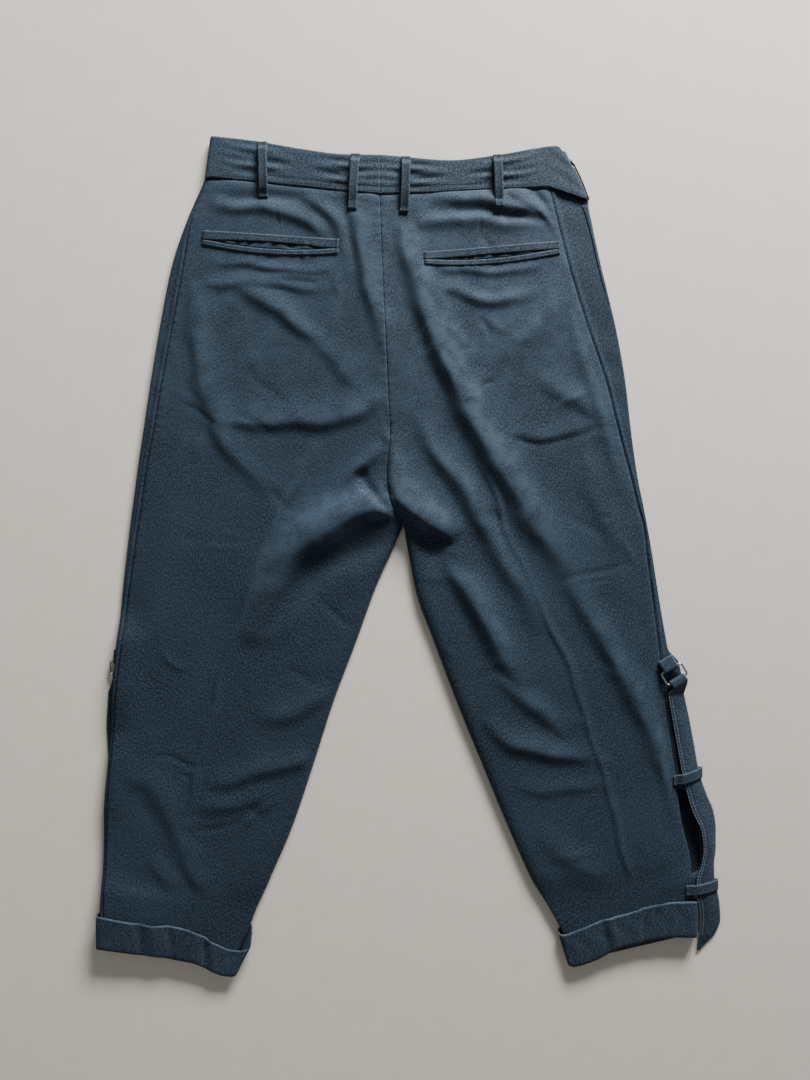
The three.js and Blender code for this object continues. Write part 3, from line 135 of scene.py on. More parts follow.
def ease(v, start, end):
    t = np.clip((v - start) / (end - start), 0, 1)
    return t * t * (3 - 2 * t)


def windowed(v, centre, half, ramp):
    return 1 - ease(np.abs(v - centre), half, half + ramp)


def smooth(xs, ys):
    xs, ys = np.asarray(xs, float), np.asarray(ys, float)
    slope = np.diff(ys) / np.diff(xs)
    product, total = slope[:-1] * slope[1:], slope[:-1] + slope[1:]
    inner = np.where(product > 0, 2 * product / np.where(total == 0, 1, total), 0)
    tangent = np.concatenate([slope[:1], inner, slope[-1:]])

    def value(x):
        x = np.asarray(x, float)
        i = np.clip(np.searchsorted(xs, x, side="right") - 1, 0, len(xs) - 2)
        width = xs[i + 1] - xs[i]
        t = np.clip((x - xs[i]) / width, 0, 1)
        rise = ys[i + 1] - ys[i]
        a, b = tangent[i] * width - rise, rise - tangent[i + 1] * width
        return ys[i] + t * rise + t * (1 - t) * (a * (1 - t) + b * t)

    return value


def rounded(control, count, closed=False):
    """More points along the first axis of a grid, on a curve through its rows."""
    control = np.asarray(control, float)
    rows = np.vstack([control[-1:], control, control[:2]]) if closed else np.vstack([
        2 * control[:1] - control[1:2], control, 2 * control[-1:] - control[-2:-1]])
    spans = len(control) if closed else len(control) - 1
    middle = control.shape[1] // 2
    size = np.linalg.norm(rows[2:spans + 2, middle] - rows[1:spans + 1, middle], axis=-1)
    reach = np.concatenate([[0], np.cumsum(np.maximum(size, 1e-6))])
    at = np.linspace(0, reach[-1], count, endpoint=not closed)
    span = np.clip(np.searchsorted(reach, at, side="right") - 1, 0, spans - 1)
    t = ((at - reach[span]) / (reach[span + 1] - reach[span]))[:, None, None]
    before, start, end, after = (rows[span + n] for n in range(4))
    previous = np.linalg.norm(start - before, axis=-1, keepdims=True)
    length = np.linalg.norm(end - start, axis=-1, keepdims=True)
    following = np.linalg.norm(after - end, axis=-1, keepdims=True)
    out = (end - before) * length / np.maximum(previous + length, 1e-6)
    into = (after - start) * length / np.maximum(following + length, 1e-6)
    return (
        (2 * t**3 - 3 * t**2 + 1) * start + (t**3 - 2 * t**2 + t) * out
        + (3 * t**2 - 2 * t**3) * end + (t**3 - t**2) * into
    )


def across(points, count, closed=False):
    return rounded(points.transpose(1, 0, 2), count, closed).transpose(1, 0, 2)


leg_length = {side: rows["seamY"][0] - rows["seamY"][-1] for side, rows in LEG_ROWS.items()}
print("outseam below the waistband", {s: round(v) for s, v in leg_length.items()}, "mm")

# %% [markdown]
# ## Heights of the layers
#
# Laid flat, the trousers are about 9 mm deep. The front panels rest on the floor, turn up
# round the side folds, and the back panels lie over them and roll down to the inseams. On
# the left the strap, its ring and its keepers lie under the leg and hold it a little off
# the floor. These values repeat the CAD part's, so that each shell lies on its solid.

# %% Layer heights
WALL, GAP, LAP = 1.5, 0.35, 3.0
CROWN, BAND_TOP, INSEAM_TOP, INSEAM_ROLL, SEAM_EASE = 8.9, 9.0, 3.7, 16.0, 34.0
CUFF_CLOTH, STRAP_CLOTH, TRIM_CLOTH, LOOP_CLOTH, KEEPER_CLOTH = 2.0, 1.6, 1.2, 1.4, 1.0
HEM_LIFT, HEM_TUCK, HEM_RAMP_START, HEM_RAMP_END = CUFF_CLOTH + 2 * GAP, 3.0, 82, 54
STRAP_WIDTH, LEFT_STRAP_TOP = 24.8, STRAP_CLOTH + 0.2
RING = {"long": 12.3, "short": 7.1, "corner": 2.6, "wire": 1.1}
RING_AT = {
    "right": {"at": (284.4, -126.2, 10.4), "along": (0.86, 0.51)},
    "left": {"at": (-312.0, -120.4, 3.2), "along": (-1.0, 0.0)},
}
LEFT_KEEPER_Y = {"keeper_upper_left": -238.7, "keeper_lower_left": -368.3}
LEFT_STRAP = table(["y", "outerX", "width"], [
    [-148, -326.6, 22], [-182, -328.5, 24.8], [-204, -327.4, 24.8], [-227, -326.2, 24.8],
    [-250, -325.8, 24.8], [-295, -325.6, 24.8], [-338, -327.8, 24.8], [-368, -332.4, 24.8],
    [-390, -330.5, 24.8], [-402, -328.5, 17], [-412, -326.0, 5],
])
FRONT_LOOP_LEFT_X = -184
print(len(LEFT_STRAP["y"]), "stations down the left strap")

# %% [markdown]
# ## What lifts the left leg
#
# Cloth bridges what it lies on. Close to the ring or a keeper the strap rises steeply, but
# the leg above it, which is wider and stiffer, eases off over a longer way. So each bump has
# a half width, a ramp for the strap and a longer one for the leg.

# %% Bumps under the left leg
RING_BUMP = {"middle": 2, "half": 19, "strapRamp": 18, "legRamp": 60}
KEEPER_BUMP = {"half": 8, "strapRamp": 9, "legRamp": 55}
STRAP_BUMP = {"above": 70, "ramp": 44, "flat": 14, "floor": 34, "insideX": -250}
POCKET_BUMP = {"fromFold": 26, "half": 12, "ramp": 10, "down": 65, "halfDown": 62, "rampDown": 16}
LOOP_BUMP = {"half": 18, "ramp": 16, "low": 352, "high": 368}
left_strap_outer = smooth(-LEFT_STRAP["y"], LEFT_STRAP["outerX"])
left_strap_width = smooth(-LEFT_STRAP["y"], LEFT_STRAP["width"])


def ring_rise(y, ramp):
    """Rise of the strap over the left ring's wire."""
    _, ring_y, ring_z = RING_AT["left"]["at"]
    high = ring_z + RING["wire"] + GAP + STRAP_CLOTH - LEFT_STRAP_TOP
    return high * windowed(y, ring_y + RING_BUMP["middle"], RING_BUMP["half"], ramp)


def near_left_keeper(y, ramp):
    return np.maximum(*[windowed(y, at, KEEPER_BUMP["half"], ramp) for at in LEFT_KEEPER_Y.values()])


def left_strap_top(y):
    keepers = near_left_keeper(y, KEEPER_BUMP["strapRamp"]) * (KEEPER_CLOTH + GAP)
    return LEFT_STRAP_TOP + ring_rise(y, RING_BUMP["strapRamp"]) + keepers


def strap_lift(x, y):
    start = RING_AT["left"]["at"][1] + STRAP_BUMP["above"]
    keepers = 2 * (KEEPER_CLOTH + GAP) * near_left_keeper(y, KEEPER_BUMP["legRamp"])
    high = LEFT_STRAP_TOP + GAP + np.maximum(ring_rise(y, RING_BUMP["legRamp"]), keepers)
    inner_edge = left_strap_outer(-y) + STRAP_WIDTH
    inside = 1 - ease(x, inner_edge + STRAP_BUMP["flat"], inner_edge + STRAP_BUMP["floor"])
    lifted = high * inside * ease(-y, -start, -start + STRAP_BUMP["ramp"])
    return np.where((y > start) | (x > STRAP_BUMP["insideX"]), 0, lifted)


def loop_lift(x, y):
    beside = windowed(x, FRONT_LOOP_LEFT_X, LOOP_BUMP["half"], LOOP_BUMP["ramp"])
    return (LOOP_CLOTH + 2 * GAP) * beside * ease(y, LOOP_BUMP["low"], LOOP_BUMP["high"])


def pocket_lift(x, y):
    bump = POCKET_BUMP
    down = LEG_ROWS["left"]["seamY"][0] - y
    fold = leg_curve("left", "foldX", np.clip(down, 0, 400))
    beside = windowed(x - fold, bump["fromFold"], bump["half"], bump["ramp"])
    return (TRIM_CLOTH + GAP) * beside * windowed(down, bump["down"], bump["halfDown"], bump["rampDown"])


def under_lift(side, x, y):
    if side == "right":
        return np.zeros(np.broadcast(x, y).shape)
    return np.maximum(np.maximum(strap_lift(x, y), pocket_lift(x, y)), loop_lift(x, y))


def leg_curve(side, name, down):
    rows = LEG_ROWS[side]
    return smooth(rows["seamY"][0] - rows["seamY"], rows[name])(down)


print("the strap lifts the left leg by", round(float(strap_lift(-330, -120)), 1), "mm at its ring")

# %% A section of a leg
crotch_down = {
    side: rows["seamY"][0] - rows["seamY"][list(rows["innerX"]).index(CROTCH_X)]
    for side, rows in LEG_ROWS.items()
}
to_crotch_rows = list(LEG_ROWS["left"]["innerX"]).index(CROTCH_X) + 1
centre_share = LEG_ROWS["left"]["seamY"][0] - LEG_ROWS["left"]["seamY"][:to_crotch_rows]
centre_share = centre_share / crotch_down["left"]
centre_x = smooth(centre_share, LEG_ROWS["left"]["innerX"][:to_crotch_rows])
centre_y = smooth(centre_share, LEG_ROWS["left"]["innerY"][:to_crotch_rows])


SPLIT_ABOVE, SPLIT_BELOW = 12, 30


def leg_at(side, down):
    """The points of a leg's section at distances down from the waist, as arrays."""
    down = np.asarray(down, float)
    leg = {name: leg_curve(side, name, down) for name in LEG_COLUMNS}
    seat = np.clip(1 - down / crotch_down[side], 0, 1)
    leg["innerX"] = np.where(seat > 0, centre_x(1 - seat), leg["innerX"])
    leg["innerY"] = np.where(seat > 0, centre_y(1 - seat), leg["innerY"])
    leg["frontX"] = np.where(seat > 0, mix(CROTCH_X, FRONT_WAIST[0], seat), leg["innerX"])
    leg["frontY"] = leg["innerY"] + (FRONT_WAIST[1] - centre_y(0)) * seat**2
    leg["hem"] = ease(down, leg_length[side] - HEM_RAMP_START, leg_length[side] - HEM_RAMP_END)
    leg["split"] = ease(down, crotch_down[side] - SPLIT_ABOVE, crotch_down[side] + SPLIT_BELOW)
    tuck = (-HEM_TUCK if side == "left" else HEM_TUCK) * leg["hem"]
    leg["innerX"] = leg["innerX"] + tuck
    leg["frontX"] = leg["frontX"] + tuck * (seat == 0)
    return leg


print("crotch", {s: round(v) for s, v in crotch_down.items()}, "mm below the waist")

# %% [markdown]
# ## Creases
#
# Cloth that has been worn and laid down keeps soft ridges and troughs. A simulation would
# drape the whole garment afresh and lose the ones that this pair has, so they are listed
# one by one. A crease is a curve through a few stations, and each station gives a place, a height
# and how far the cloth falls away on each side. The left side of the way it runs is the
# gentle flank and the right side is the steep one: a fold lies over, so it is never even.

# %% Ridges of the back
RIDGES = {
    "long ridge from the waist over the right thigh": [
        [-12, 366, 0, 14, 7], [-5, 331, 3.2, 16, 7.5], [9, 288, 4.6, 20, 8.5],
        [24, 245, 5.4, 24, 9.5], [45, 193, 6.2, 24, 10], [66, 147, 6.6, 22, 10.5],
        [92, 104, 6.2, 22, 11], [119, 61, 5.4, 22, 11.5], [147, 18, 4.2, 22, 12],
        [176, -23, 2.4, 24, 14], [212, -71, 0, 24, 14],
    ],
    "centre of the seat": [
        [-71, 382, 0, 14, 6], [-56, 346, 3, 16, 6.5], [-47, 304, 3.6, 18, 7], [-38, 261, 3, 18, 8],
        [-25, 223, 1.4, 16, 8], [-15, 193, 0, 14, 8],
    ],
    "beside it on the thigh": [
        [5, 160, 0, 10, 8], [26, 119, 2.6, 12, 8.5], [44, 91, 3.8, 13, 9.5], [69, 52, 4.2, 14, 10],
        [94, 7, 3.8, 14, 10], [120, -38, 2.6, 15, 11], [147, -86, 0, 14, 11],
    ],
    "crotch, right": [
        [-22, 139, 0, 14, 6], [-21, 110, 2.6, 17, 5.5], [-18, 83, 5.2, 20, 6], [-8, 60, 7.4, 22, 8],
        [17, 40, 8, 20, 9], [37, 26, 6, 16, 8], [55, 14, 0, 12, 7],
    ],
    "inner thigh, right": [
        [33, 12, 0, 14, 9], [52, -20, 4, 16, 9], [75, -60, 5.6, 17, 9], [96, -99, 5, 18, 10],
        [114, -129, 2.2, 18, 9], [128, -148, 0, 16, 9],
    ],
    "crotch, left": [
        [-179, -97, 0, 20, 12], [-159, -53, 4, 24, 14], [-134, -10, 7.4, 28, 16],
        [-102, 22, 9.6, 30, 16], [-64, 42, 9.6, 26, 14], [-28, 52, 8, 20, 11], [-9, 49, 4, 12, 9],
    ],
    "above the crotch, left": [
        [-120, 20, 0, 14, 9], [-94, 56, 1.8, 14, 9], [-70, 80, 2.8, 12, 8], [-45, 103, 2.8, 12, 7],
        [-23, 122, 0, 10, 7],
    ],
    "below the left seat": [
        [-226, 152, 0, 16, 8], [-192, 147, 2.2, 18, 8], [-140, 144, 2.8, 20, 8],
        [-91, 145, 3.2, 20, 8], [-60, 156, 3.4, 18, 9], [-34, 171, 1.8, 14, 9],
        [-19, 180, 0, 12, 8],
    ],
    "outer seat, left": [
        [-226, 303, 0, 12, 10], [-231, 266, 2, 16, 9], [-230, 223, 2.8, 20, 9],
        [-220, 174, 3, 20, 9], [-198, 126, 2.6, 16, 9], [-168, 87, 1.4, 14, 9],
        [-138, 57, 0, 12, 9],
    ],
    "left seat, upper": [
        [-196, 296, 0, 10, 6], [-170, 281, 2.4, 12, 7], [-138, 263, 3, 13, 8],
        [-112, 241, 2.4, 12, 8], [-90, 221, 0, 10, 8],
    ],
    "left seat, lower": [
        [-118, 234, 0, 14, 8], [-86, 217, 1.8, 16, 9], [-62, 191, 1.4, 14, 9], [-40, 169, 0, 12, 8],
    ],
    "yoke, left": [
        [-220, 379, 0, 8, 6], [-188, 377, 2, 8, 6], [-145, 372, 2.4, 9, 6], [-110, 361, 2.4, 9, 6],
        [-84, 342, 0, 8, 6],
    ],
    "yoke beside the centre, left": [
        [-123, 389, 0, 8, 5], [-94, 376, 2, 8, 5], [-77, 355, 2, 8, 6], [-71, 325, 1.4, 9, 6],
        [-69, 290, 0, 9, 6],
    ],
    "yoke, right": [
        [20, 388, 0, 8, 6], [50, 385, 2, 8, 6], [89, 381, 2.6, 8, 7], [125, 375, 2.6, 8, 6],
        [147, 367, 0, 8, 6],
    ],
    "over the right welt": [
        [1, 357, 0, 8, 7], [26, 361, 2.2, 8, 8], [65, 362, 2.4, 8, 8], [109, 360, 1.8, 8, 7],
        [150, 355, 0, 8, 6],
    ],
    "hip beside the right side seam": [
        [101, 397, 0, 8, 4], [124, 383, 2, 9, 4], [144, 368, 2.4, 10, 4], [158, 350, 1.6, 9, 4],
        [166, 333, 0, 8, 4],
    ],
    "left pocket bag, edge": [
        [-231, 296, 0, 7, 5], [-202, 294, 1.5, 8, 5], [-159, 293, 1.7, 8, 5],
        [-118, 290, 1.5, 8, 5], [-75, 288, 0, 7, 5],
    ],
    "under the left welt": [
        [-220, 318, 0, 6, 4], [-183, 314, 1.3, 6, 4], [-140, 309, 1.5, 6, 4], [-99, 309, 1.1, 6, 4],
        [-73, 312, 0, 6, 4],
    ],
    "under the left welt, second": [
        [-177, 302, 0, 5, 3], [-153, 299, 1, 5, 3.5], [-118, 302, 1.2, 5, 3.5], [-86, 299, 0, 5, 3],
    ],
    "inner side of the left pocket bag": [
        [-70, 329, 0, 5, 4], [-75, 312, 1, 6, 4], [-78, 294, 1, 6, 4], [-79, 277, 0, 5, 4],
    ],
    "right pocket bag, edge": [
        [16, 290, 0, 7, 5], [39, 287, 1.8, 8, 6], [65, 277, 2.2, 8, 6], [91, 274, 2.4, 8, 6],
        [115, 280, 1.8, 8, 6], [150, 288, 0, 7, 5],
    ],
    "under the right welt": [
        [20, 309, 0, 6, 4], [44, 307, 1.3, 6, 4], [87, 307, 1.5, 6, 4], [125, 310, 1.1, 6, 4],
        [150, 316, 0, 6, 4],
    ],
    "right seat, soft": [
        [179, 290, 0, 14, 12], [150, 264, 1.4, 16, 12], [122, 232, 1.8, 16, 12],
        [104, 199, 0, 14, 12],
    ],
    "right seat, blob": [
        [134, 199, 0, 12, 9], [158, 182, 1.6, 14, 9], [186, 165, 1.8, 14, 9], [212, 143, 0, 12, 9],
    ],
    "above the right seat line": [
        [83, 137, 0, 10, 4], [119, 132, 1, 12, 5], [154, 129, 1.3, 12, 5], [184, 137, 1, 12, 5],
        [212, 150, 0, 10, 4],
    ],
    "right hip, outer": [
        [169, 277, 0, 12, 7], [181, 234, 1.6, 14, 8], [197, 185, 2.2, 16, 8],
        [210, 142, 2.2, 16, 9], [223, 93, 1.2, 14, 9], [232, 56, 0, 12, 9],
    ],
    "right thigh, outer": [
        [179, 110, 0, 14, 10], [193, 83, 1.4, 14, 10], [209, 45, 1.4, 14, 9], [230, -4, 0, 14, 9],
    ],
    "right leg, long ridge to the strap": [
        [158, 5, 0, 16, 10], [186, -49, 3.2, 18, 10], [214, -101, 4.2, 18, 10],
        [242, -155, 4.4, 18, 10], [265, -204, 3.8, 16, 9], [282, -252, 2.2, 12, 8],
        [293, -298, 0, 10, 8],
    ],
    "behind the right knee": [
        [74, -172, 0, 10, 7], [102, -195, 2.8, 14, 8], [139, -210, 3.4, 14, 8],
        [176, -217, 2.2, 12, 7], [208, -209, 0, 10, 7],
    ],
    "above the right knee": [
        [87, -125, 0, 10, 8], [113, -146, 2.2, 12, 8], [146, -172, 2.6, 12, 8],
        [178, -196, 0, 10, 8],
    ],
    "right calf": [
        [103, -244, 0, 8, 5], [141, -252, 1.1, 9, 5], [184, -250, 1.1, 9, 5], [217, -241, 0, 8, 5],
    ],
    "right shin, soft": [
        [130, -285, 0, 14, 12], [163, -317, 1.4, 16, 12], [195, -347, 1.4, 16, 12],
        [221, -376, 0, 14, 12],
    ],
    "behind the left knee": [
        [-226, -248, 0, 10, 8], [-188, -240, 2, 14, 8], [-145, -228, 2.3, 14, 8],
        [-107, -217, 2, 12, 8], [-90, -209, 0, 10, 8],
    ],
    "above the left knee": [
        [-174, -179, 0, 12, 9], [-138, -172, 2.1, 15, 9], [-102, -155, 2, 14, 9],
        [-77, -140, 0, 12, 9],
    ],
    "left knee, upper": [
        [-206, -86, 0, 16, 12], [-176, -82, 1.2, 16, 12], [-142, -78, 1.2, 16, 12],
        [-96, -56, 0, 14, 12],
    ],
    "left calf, inner": [
        [-239, -276, 0, 12, 8], [-210, -269, 1.6, 12, 8], [-174, -263, 1.6, 12, 8],
        [-133, -252, 0, 10, 8],
    ],
    "left calf, soft": [
        [-315, -228, 0, 14, 9], [-282, -244, 2, 16, 10], [-256, -279, 2.2, 16, 10],
        [-237, -328, 2.2, 16, 10], [-219, -371, 1.4, 14, 10], [-207, -403, 0, 12, 10],
    ],
    "left hem, soft": [
        [-280, -317, 0, 12, 9], [-265, -344, 1.6, 14, 9], [-250, -369, 1.2, 12, 9],
        [-241, -390, 0, 10, 9],
    ],
    "pressed crease, left leg": [
        [-99, 128, 0, 6, 4], [-117, 96, 1.8, 8, 4], [-136, 61, 2.8, 9, 4], [-153, 16, 2.8, 9, 4],
        [-170, -32, 2.6, 8, 4], [-186, -75, 2.2, 7, 3.5], [-205, -133, 1.7, 6, 3],
        [-222, -198, 1.8, 6, 3], [-237, -263, 1.6, 6, 3], [-252, -328, 1.1, 5, 3],
        [-264, -384, 0, 5, 3],
    ],
    "pressed crease, right leg": [
        [72, 113, 0, 5, 3], [86, 83, 1.6, 5, 3], [103, 31, 1.6, 5, 3], [130, -30, 1.4, 5, 3],
        [155, -82, 1.4, 5, 3], [180, -144, 1.3, 5, 3], [199, -204, 1.2, 5, 3],
        [215, -263, 1.2, 5, 3], [230, -317, 1.3, 5, 3], [244, -371, 0, 5, 3],
    ],
}
print(len(RIDGES), "ridges on the back")

# %% Troughs of the back
TROUGHS = {
    "dart, left": [
        [-143, 386, 0, 2, 2], [-141, 372, -0.5, 1.8, 1.8], [-139, 357, -0.4, 1.8, 1.8],
        [-137, 344, 0, 2, 2],
    ],
    "dart, right": [
        [80, 370, 0, 2, 2], [79, 357, -0.6, 1.8, 1.8], [77, 344, -0.5, 1.8, 1.8],
        [77, 334, 0, 2, 2],
    ],
    "hollow left of the crotch": [
        [-63, 78, 0, 6, 6], [-52, 86, -2.6, 6, 6], [-42, 73, -3.6, 6, 6], [-28, 58, -3.2, 7, 6],
        [-10, 46, -1.5, 6, 6],
    ],
    "under the crotch ridge, left": [
        [-10, 31, 0, 12, 12], [-40, 12, -2.6, 13, 14], [-75, 1, -3.8, 15, 16],
        [-107, -17, -3.8, 16, 18], [-134, -45, -2.4, 16, 18], [-159, -90, 0, 14, 14],
    ],
    "under the crotch ridge, right": [
        [-4, 22, 0, 8, 8], [16, 12, -1.8, 8, 10], [40, -2, -2.0, 9, 10], [62, -24, 0, 8, 10],
    ],
    "notch on the centre seam": [
        [-28, 73, 0, 4, 4], [-21, 72, -2.4, 3.5, 3.5], [-15, 72, 0, 4, 4],
    ],
    "drag line to the crotch": [
        [-20, 130, 0, 2.4, 2.4], [-22, 115, -1.1, 2.4, 2.4], [-25, 96, -1.3, 2.4, 2.4],
        [-28, 78, 0, 2.4, 2.4],
    ],
    "hip, beside the side seam": [
        [127, 402, 0, 5, 5], [144, 385, -2.4, 5, 6], [158, 364, -3, 5, 6], [170, 342, 0, 5, 5],
    ],
    "right seat line": [
        [96, 128, 0, 2.4, 2.4], [119, 125, -0.6, 2.4, 2.4], [150, 123, -0.9, 2.6, 2.6],
        [180, 129, -0.7, 2.4, 2.4], [210, 142, 0, 2.4, 2.4],
    ],
    "hook on the right seat": [
        [70, 172, 0, 2, 2], [76, 182, -1.1, 2, 2], [85, 187, -1.4, 2.2, 2.2], [94, 181, 0, 2, 2],
    ],
    "mark on the right thigh": [
        [201, 43, 0, 2, 2], [210, 44, -1.1, 2.2, 2.2], [223, 48, 0, 2, 2],
    ],
    "line across the right thigh": [
        [152, -29, 0, 2.5, 2.5], [176, -22, -0.8, 2.5, 2.5], [208, -16, -0.9, 2.5, 2.5],
        [249, -2, 0, 2.5, 2.5],
    ],
    "short line, right thigh": [
        [176, -34, 0, 2, 2], [195, -28, -0.6, 2.2, 2.2], [217, -25, 0, 2, 2],
    ],
    "line across the left knee": [
        [-285, -215, 0, 2, 2], [-256, -218, -0.9, 2.2, 2.2], [-231, -225, -0.9, 2.2, 2.2],
        [-213, -220, 0, 2, 2],
    ],
    "line across the left calf": [
        [-244, -298, 0, 2, 2], [-220, -296, -0.9, 2.2, 2.2], [-196, -291, -0.7, 2.2, 2.2],
        [-174, -282, 0, 2, 2],
    ],
    "short line by the left knee": [
        [-259, -231, 0, 2, 2], [-241, -237, -0.7, 2, 2], [-228, -241, 0, 2, 2],
    ],
    "under the left waistband": [
        [-221, 389, 0, 6, 6], [-183, 388, -1.6, 6, 6], [-134, 386, -1.8, 6, 6],
        [-105, 382, 0, 6, 6],
    ],
    "under the right waistband": [
        [17, 371, 0, 6, 6], [65, 371, -1.4, 6, 6], [114, 367, -1.6, 5, 6], [146, 359, 0, 6, 6],
    ],
}
print(len(TROUGHS), "troughs on the back")

# %% [markdown]
# ## Adding the creases up
#
# A ridge that runs into another joins it, and does not stand on top of it, so the ridges are
# put together with a soft maximum. Troughs are then pressed in. The places are first moved a
# little to and fro, which takes the ruled look off the curves, and a seeded scatter of faint
# short creases lies over everything. The hidden front gets a short table of its own.

# %% Crease heights
CREASE_STEP, JOIN = 4.0, 2.5
FOLD_COLUMNS = ["x1", "y1", "x2", "y2", "bow", "width", "height"]


def crease_curve(rows):
    """Stations close together along a crease, and the direction it runs in at each."""
    rows = np.array(rows, float)
    length = np.hypot(*np.diff(rows[:, :2], axis=0).T).sum()
    stations = rounded(rows[:, None, :], max(int(length / CREASE_STEP), 6))[:, 0]
    ahead = np.gradient(stations[:, :2], axis=0)
    step = np.linalg.norm(ahead, axis=1)
    ends = np.minimum(np.arange(len(stations)), np.arange(len(stations))[::-1]) * step
    stations[:, 2] *= ease(ends, 0, 12)
    return stations, ahead / step[:, None], np.gradient(stations[:, 2]) / step


def crease_height(curve, x, y):
    """Height of one crease above the points x, y, which are flat arrays."""
    stations, ahead, climb = curve
    reach = 2.6 * stations[:, 3:].max()
    low, high = stations[:, :2].min(axis=0) - reach, stations[:, :2].max(axis=0) + reach
    near = (x > low[0]) & (x < high[0]) & (y > low[1]) & (y < high[1])
    z = np.zeros(x.shape)
    if not near.any():
        return z
    dx = x[near][:, None] - stations[:, 0]
    dy = y[near][:, None] - stations[:, 1]
    closest = np.argmin(dx * dx + dy * dy, axis=1)[:, None]
    dx = np.take_along_axis(dx, closest, axis=1)[:, 0]
    dy = np.take_along_axis(dy, closest, axis=1)[:, 0]
    closest = closest[:, 0]
    forward = dx * ahead[closest, 0] + dy * ahead[closest, 1]
    left = dy * ahead[closest, 0] - dx * ahead[closest, 1]
    width = np.where(left > 0, stations[closest, 3], stations[closest, 4])
    crest = stations[closest, 2] + climb[closest] * np.clip(forward, -CREASE_STEP, CREASE_STEP)
    z[near] = crest * np.exp(-((left / width) ** 2))
    return z


RIDGE_CURVES = [crease_curve(rows) for rows in RIDGES.values()]
TROUGH_CURVES = [crease_curve(rows) for rows in TROUGHS.values()]
print(sum(len(curve[0]) for curve in RIDGE_CURVES), "stations on the ridges")

# %% Faint creases and the underside's
def ridges(folds, x, y):
    """Height of all the creases of a table of straight or bowed lines above the points x, y."""
    z = np.zeros(np.broadcast(x, y).shape)
    for x1, y1, x2, y2, bow, width, height in zip(*[folds[name] for name in FOLD_COLUMNS]):
        length = math.hypot(x2 - x1, y2 - y1)
        ux, uy = (x2 - x1) / length, (y2 - y1) / length
        along = ((x - x1) * ux + (y - y1) * uy) / length
        inside = np.clip(along, 0, 1)
        away = (-(x - x1) * uy + (y - y1) * ux - bow * 4 * inside * (1 - inside)) / width
        z += height * np.sin(np.pi * inside) ** 0.7 * np.exp(-away * away)
    return z


def scattered_creases(count, low, high, size, seed):
    """Faint short creases at seeded places, as a crease table."""
    chance = np.random.default_rng(seed)
    x, y = chance.uniform(low[0], high[0], count), chance.uniform(low[1], high[1], count)
    turn, length = chance.normal(-0.5, 0.9, count), chance.uniform(18, 60, count)
    return {
        "x1": x, "y1": y,
        "x2": x + length * np.cos(turn), "y2": y + length * np.sin(turn),
        "bow": chance.normal(0, 3, count), "width": chance.uniform(2.6, 6, count),
        "height": chance.normal(0, size, count),
    }


CLOTH_LOW, CLOTH_HIGH = (-330, -440), (320, 400)
FAINT_BACK = scattered_creases(230, CLOTH_LOW, CLOTH_HIGH, 0.42, 7)
FAINT_UNDER = scattered_creases(90, CLOTH_LOW, CLOTH_HIGH, 0.6, 8)
UNDER_FOLDS = table(FOLD_COLUMNS, [
    [-120, 330, -255, -380, -8, 4, 1.4],  # pressed crease, left front
    [95, 320, 246, -372, 8, 4, 1.4],  # pressed crease, right front
    [-20, 60, -150, -30, 8, 14, 1.8],
    [10, 60, 120, -40, -6, 14, 1.8],
    [20, 190, 120, 70, -6, 12, 1.2],
    [-30, 210, -130, 100, 6, 12, 1.2],
    [-220, -190, -110, -230, 4, 10, 1.1],
    [110, -180, 220, -226, -4, 10, 1.1],
    [-200, 300, -80, 280, 3, 9, 0.9],
    [60, 296, 170, 280, -3, 9, 0.9],
])
print(len(FAINT_BACK["x1"]), "faint creases on the back,", len(FAINT_UNDER["x1"]), "underneath")

# %% All the back's creases together
CREASE_GAIN = 1.15


def back_creases(x, y):
    x, y = np.broadcast_arrays(x, y)
    shape, x, y = x.shape, x.ravel(), y.ravel()
    moved_x = x + 1.6 * np.sin(y / 19 + 2 * np.sin(x / 37)) + 0.8 * np.sin(y / 8.3 + x / 29)
    moved_y = y + 1.6 * np.sin(x / 17 + 2 * np.sin(y / 41)) + 0.8 * np.sin(x / 7.7 - y / 31)
    crests = (crease_height(curve, moved_x, moved_y) for curve in RIDGE_CURVES)
    high = sum(np.maximum(crest, 0) ** JOIN for crest in crests)
    deep = sum(crease_height(curve, moved_x, moved_y) for curve in TROUGH_CURVES)
    sway = 0.35 * np.sin(x / 31 + 1.7 * np.sin(y / 47)) * np.sin(y / 39 + x / 83)
    faint = ridges(FAINT_BACK, x, y)
    return (CREASE_GAIN * high ** (1 / JOIN) + deep + faint + sway).reshape(shape)


print("crease over the crotch", round(float(back_creases(-64.0, 42.0)), 1), "mm high")

# %% [markdown]
# ## From a grid of points to a closed shell of cloth
#
# Every piece starts as a grid of points on the cloth's outer face. The shell gives it a
# thickness along its own normals and closes the rim, which is what Solidify does, but here
# the rim is also marked, so that the finish can be paler along the edges: wear, and painted
# highlight where the edges catch the light. The UV map is in metres along the cloth, so the
# twill keeps its scale and follows every fold.

# %% Shells from grids
SHELL = 1.0


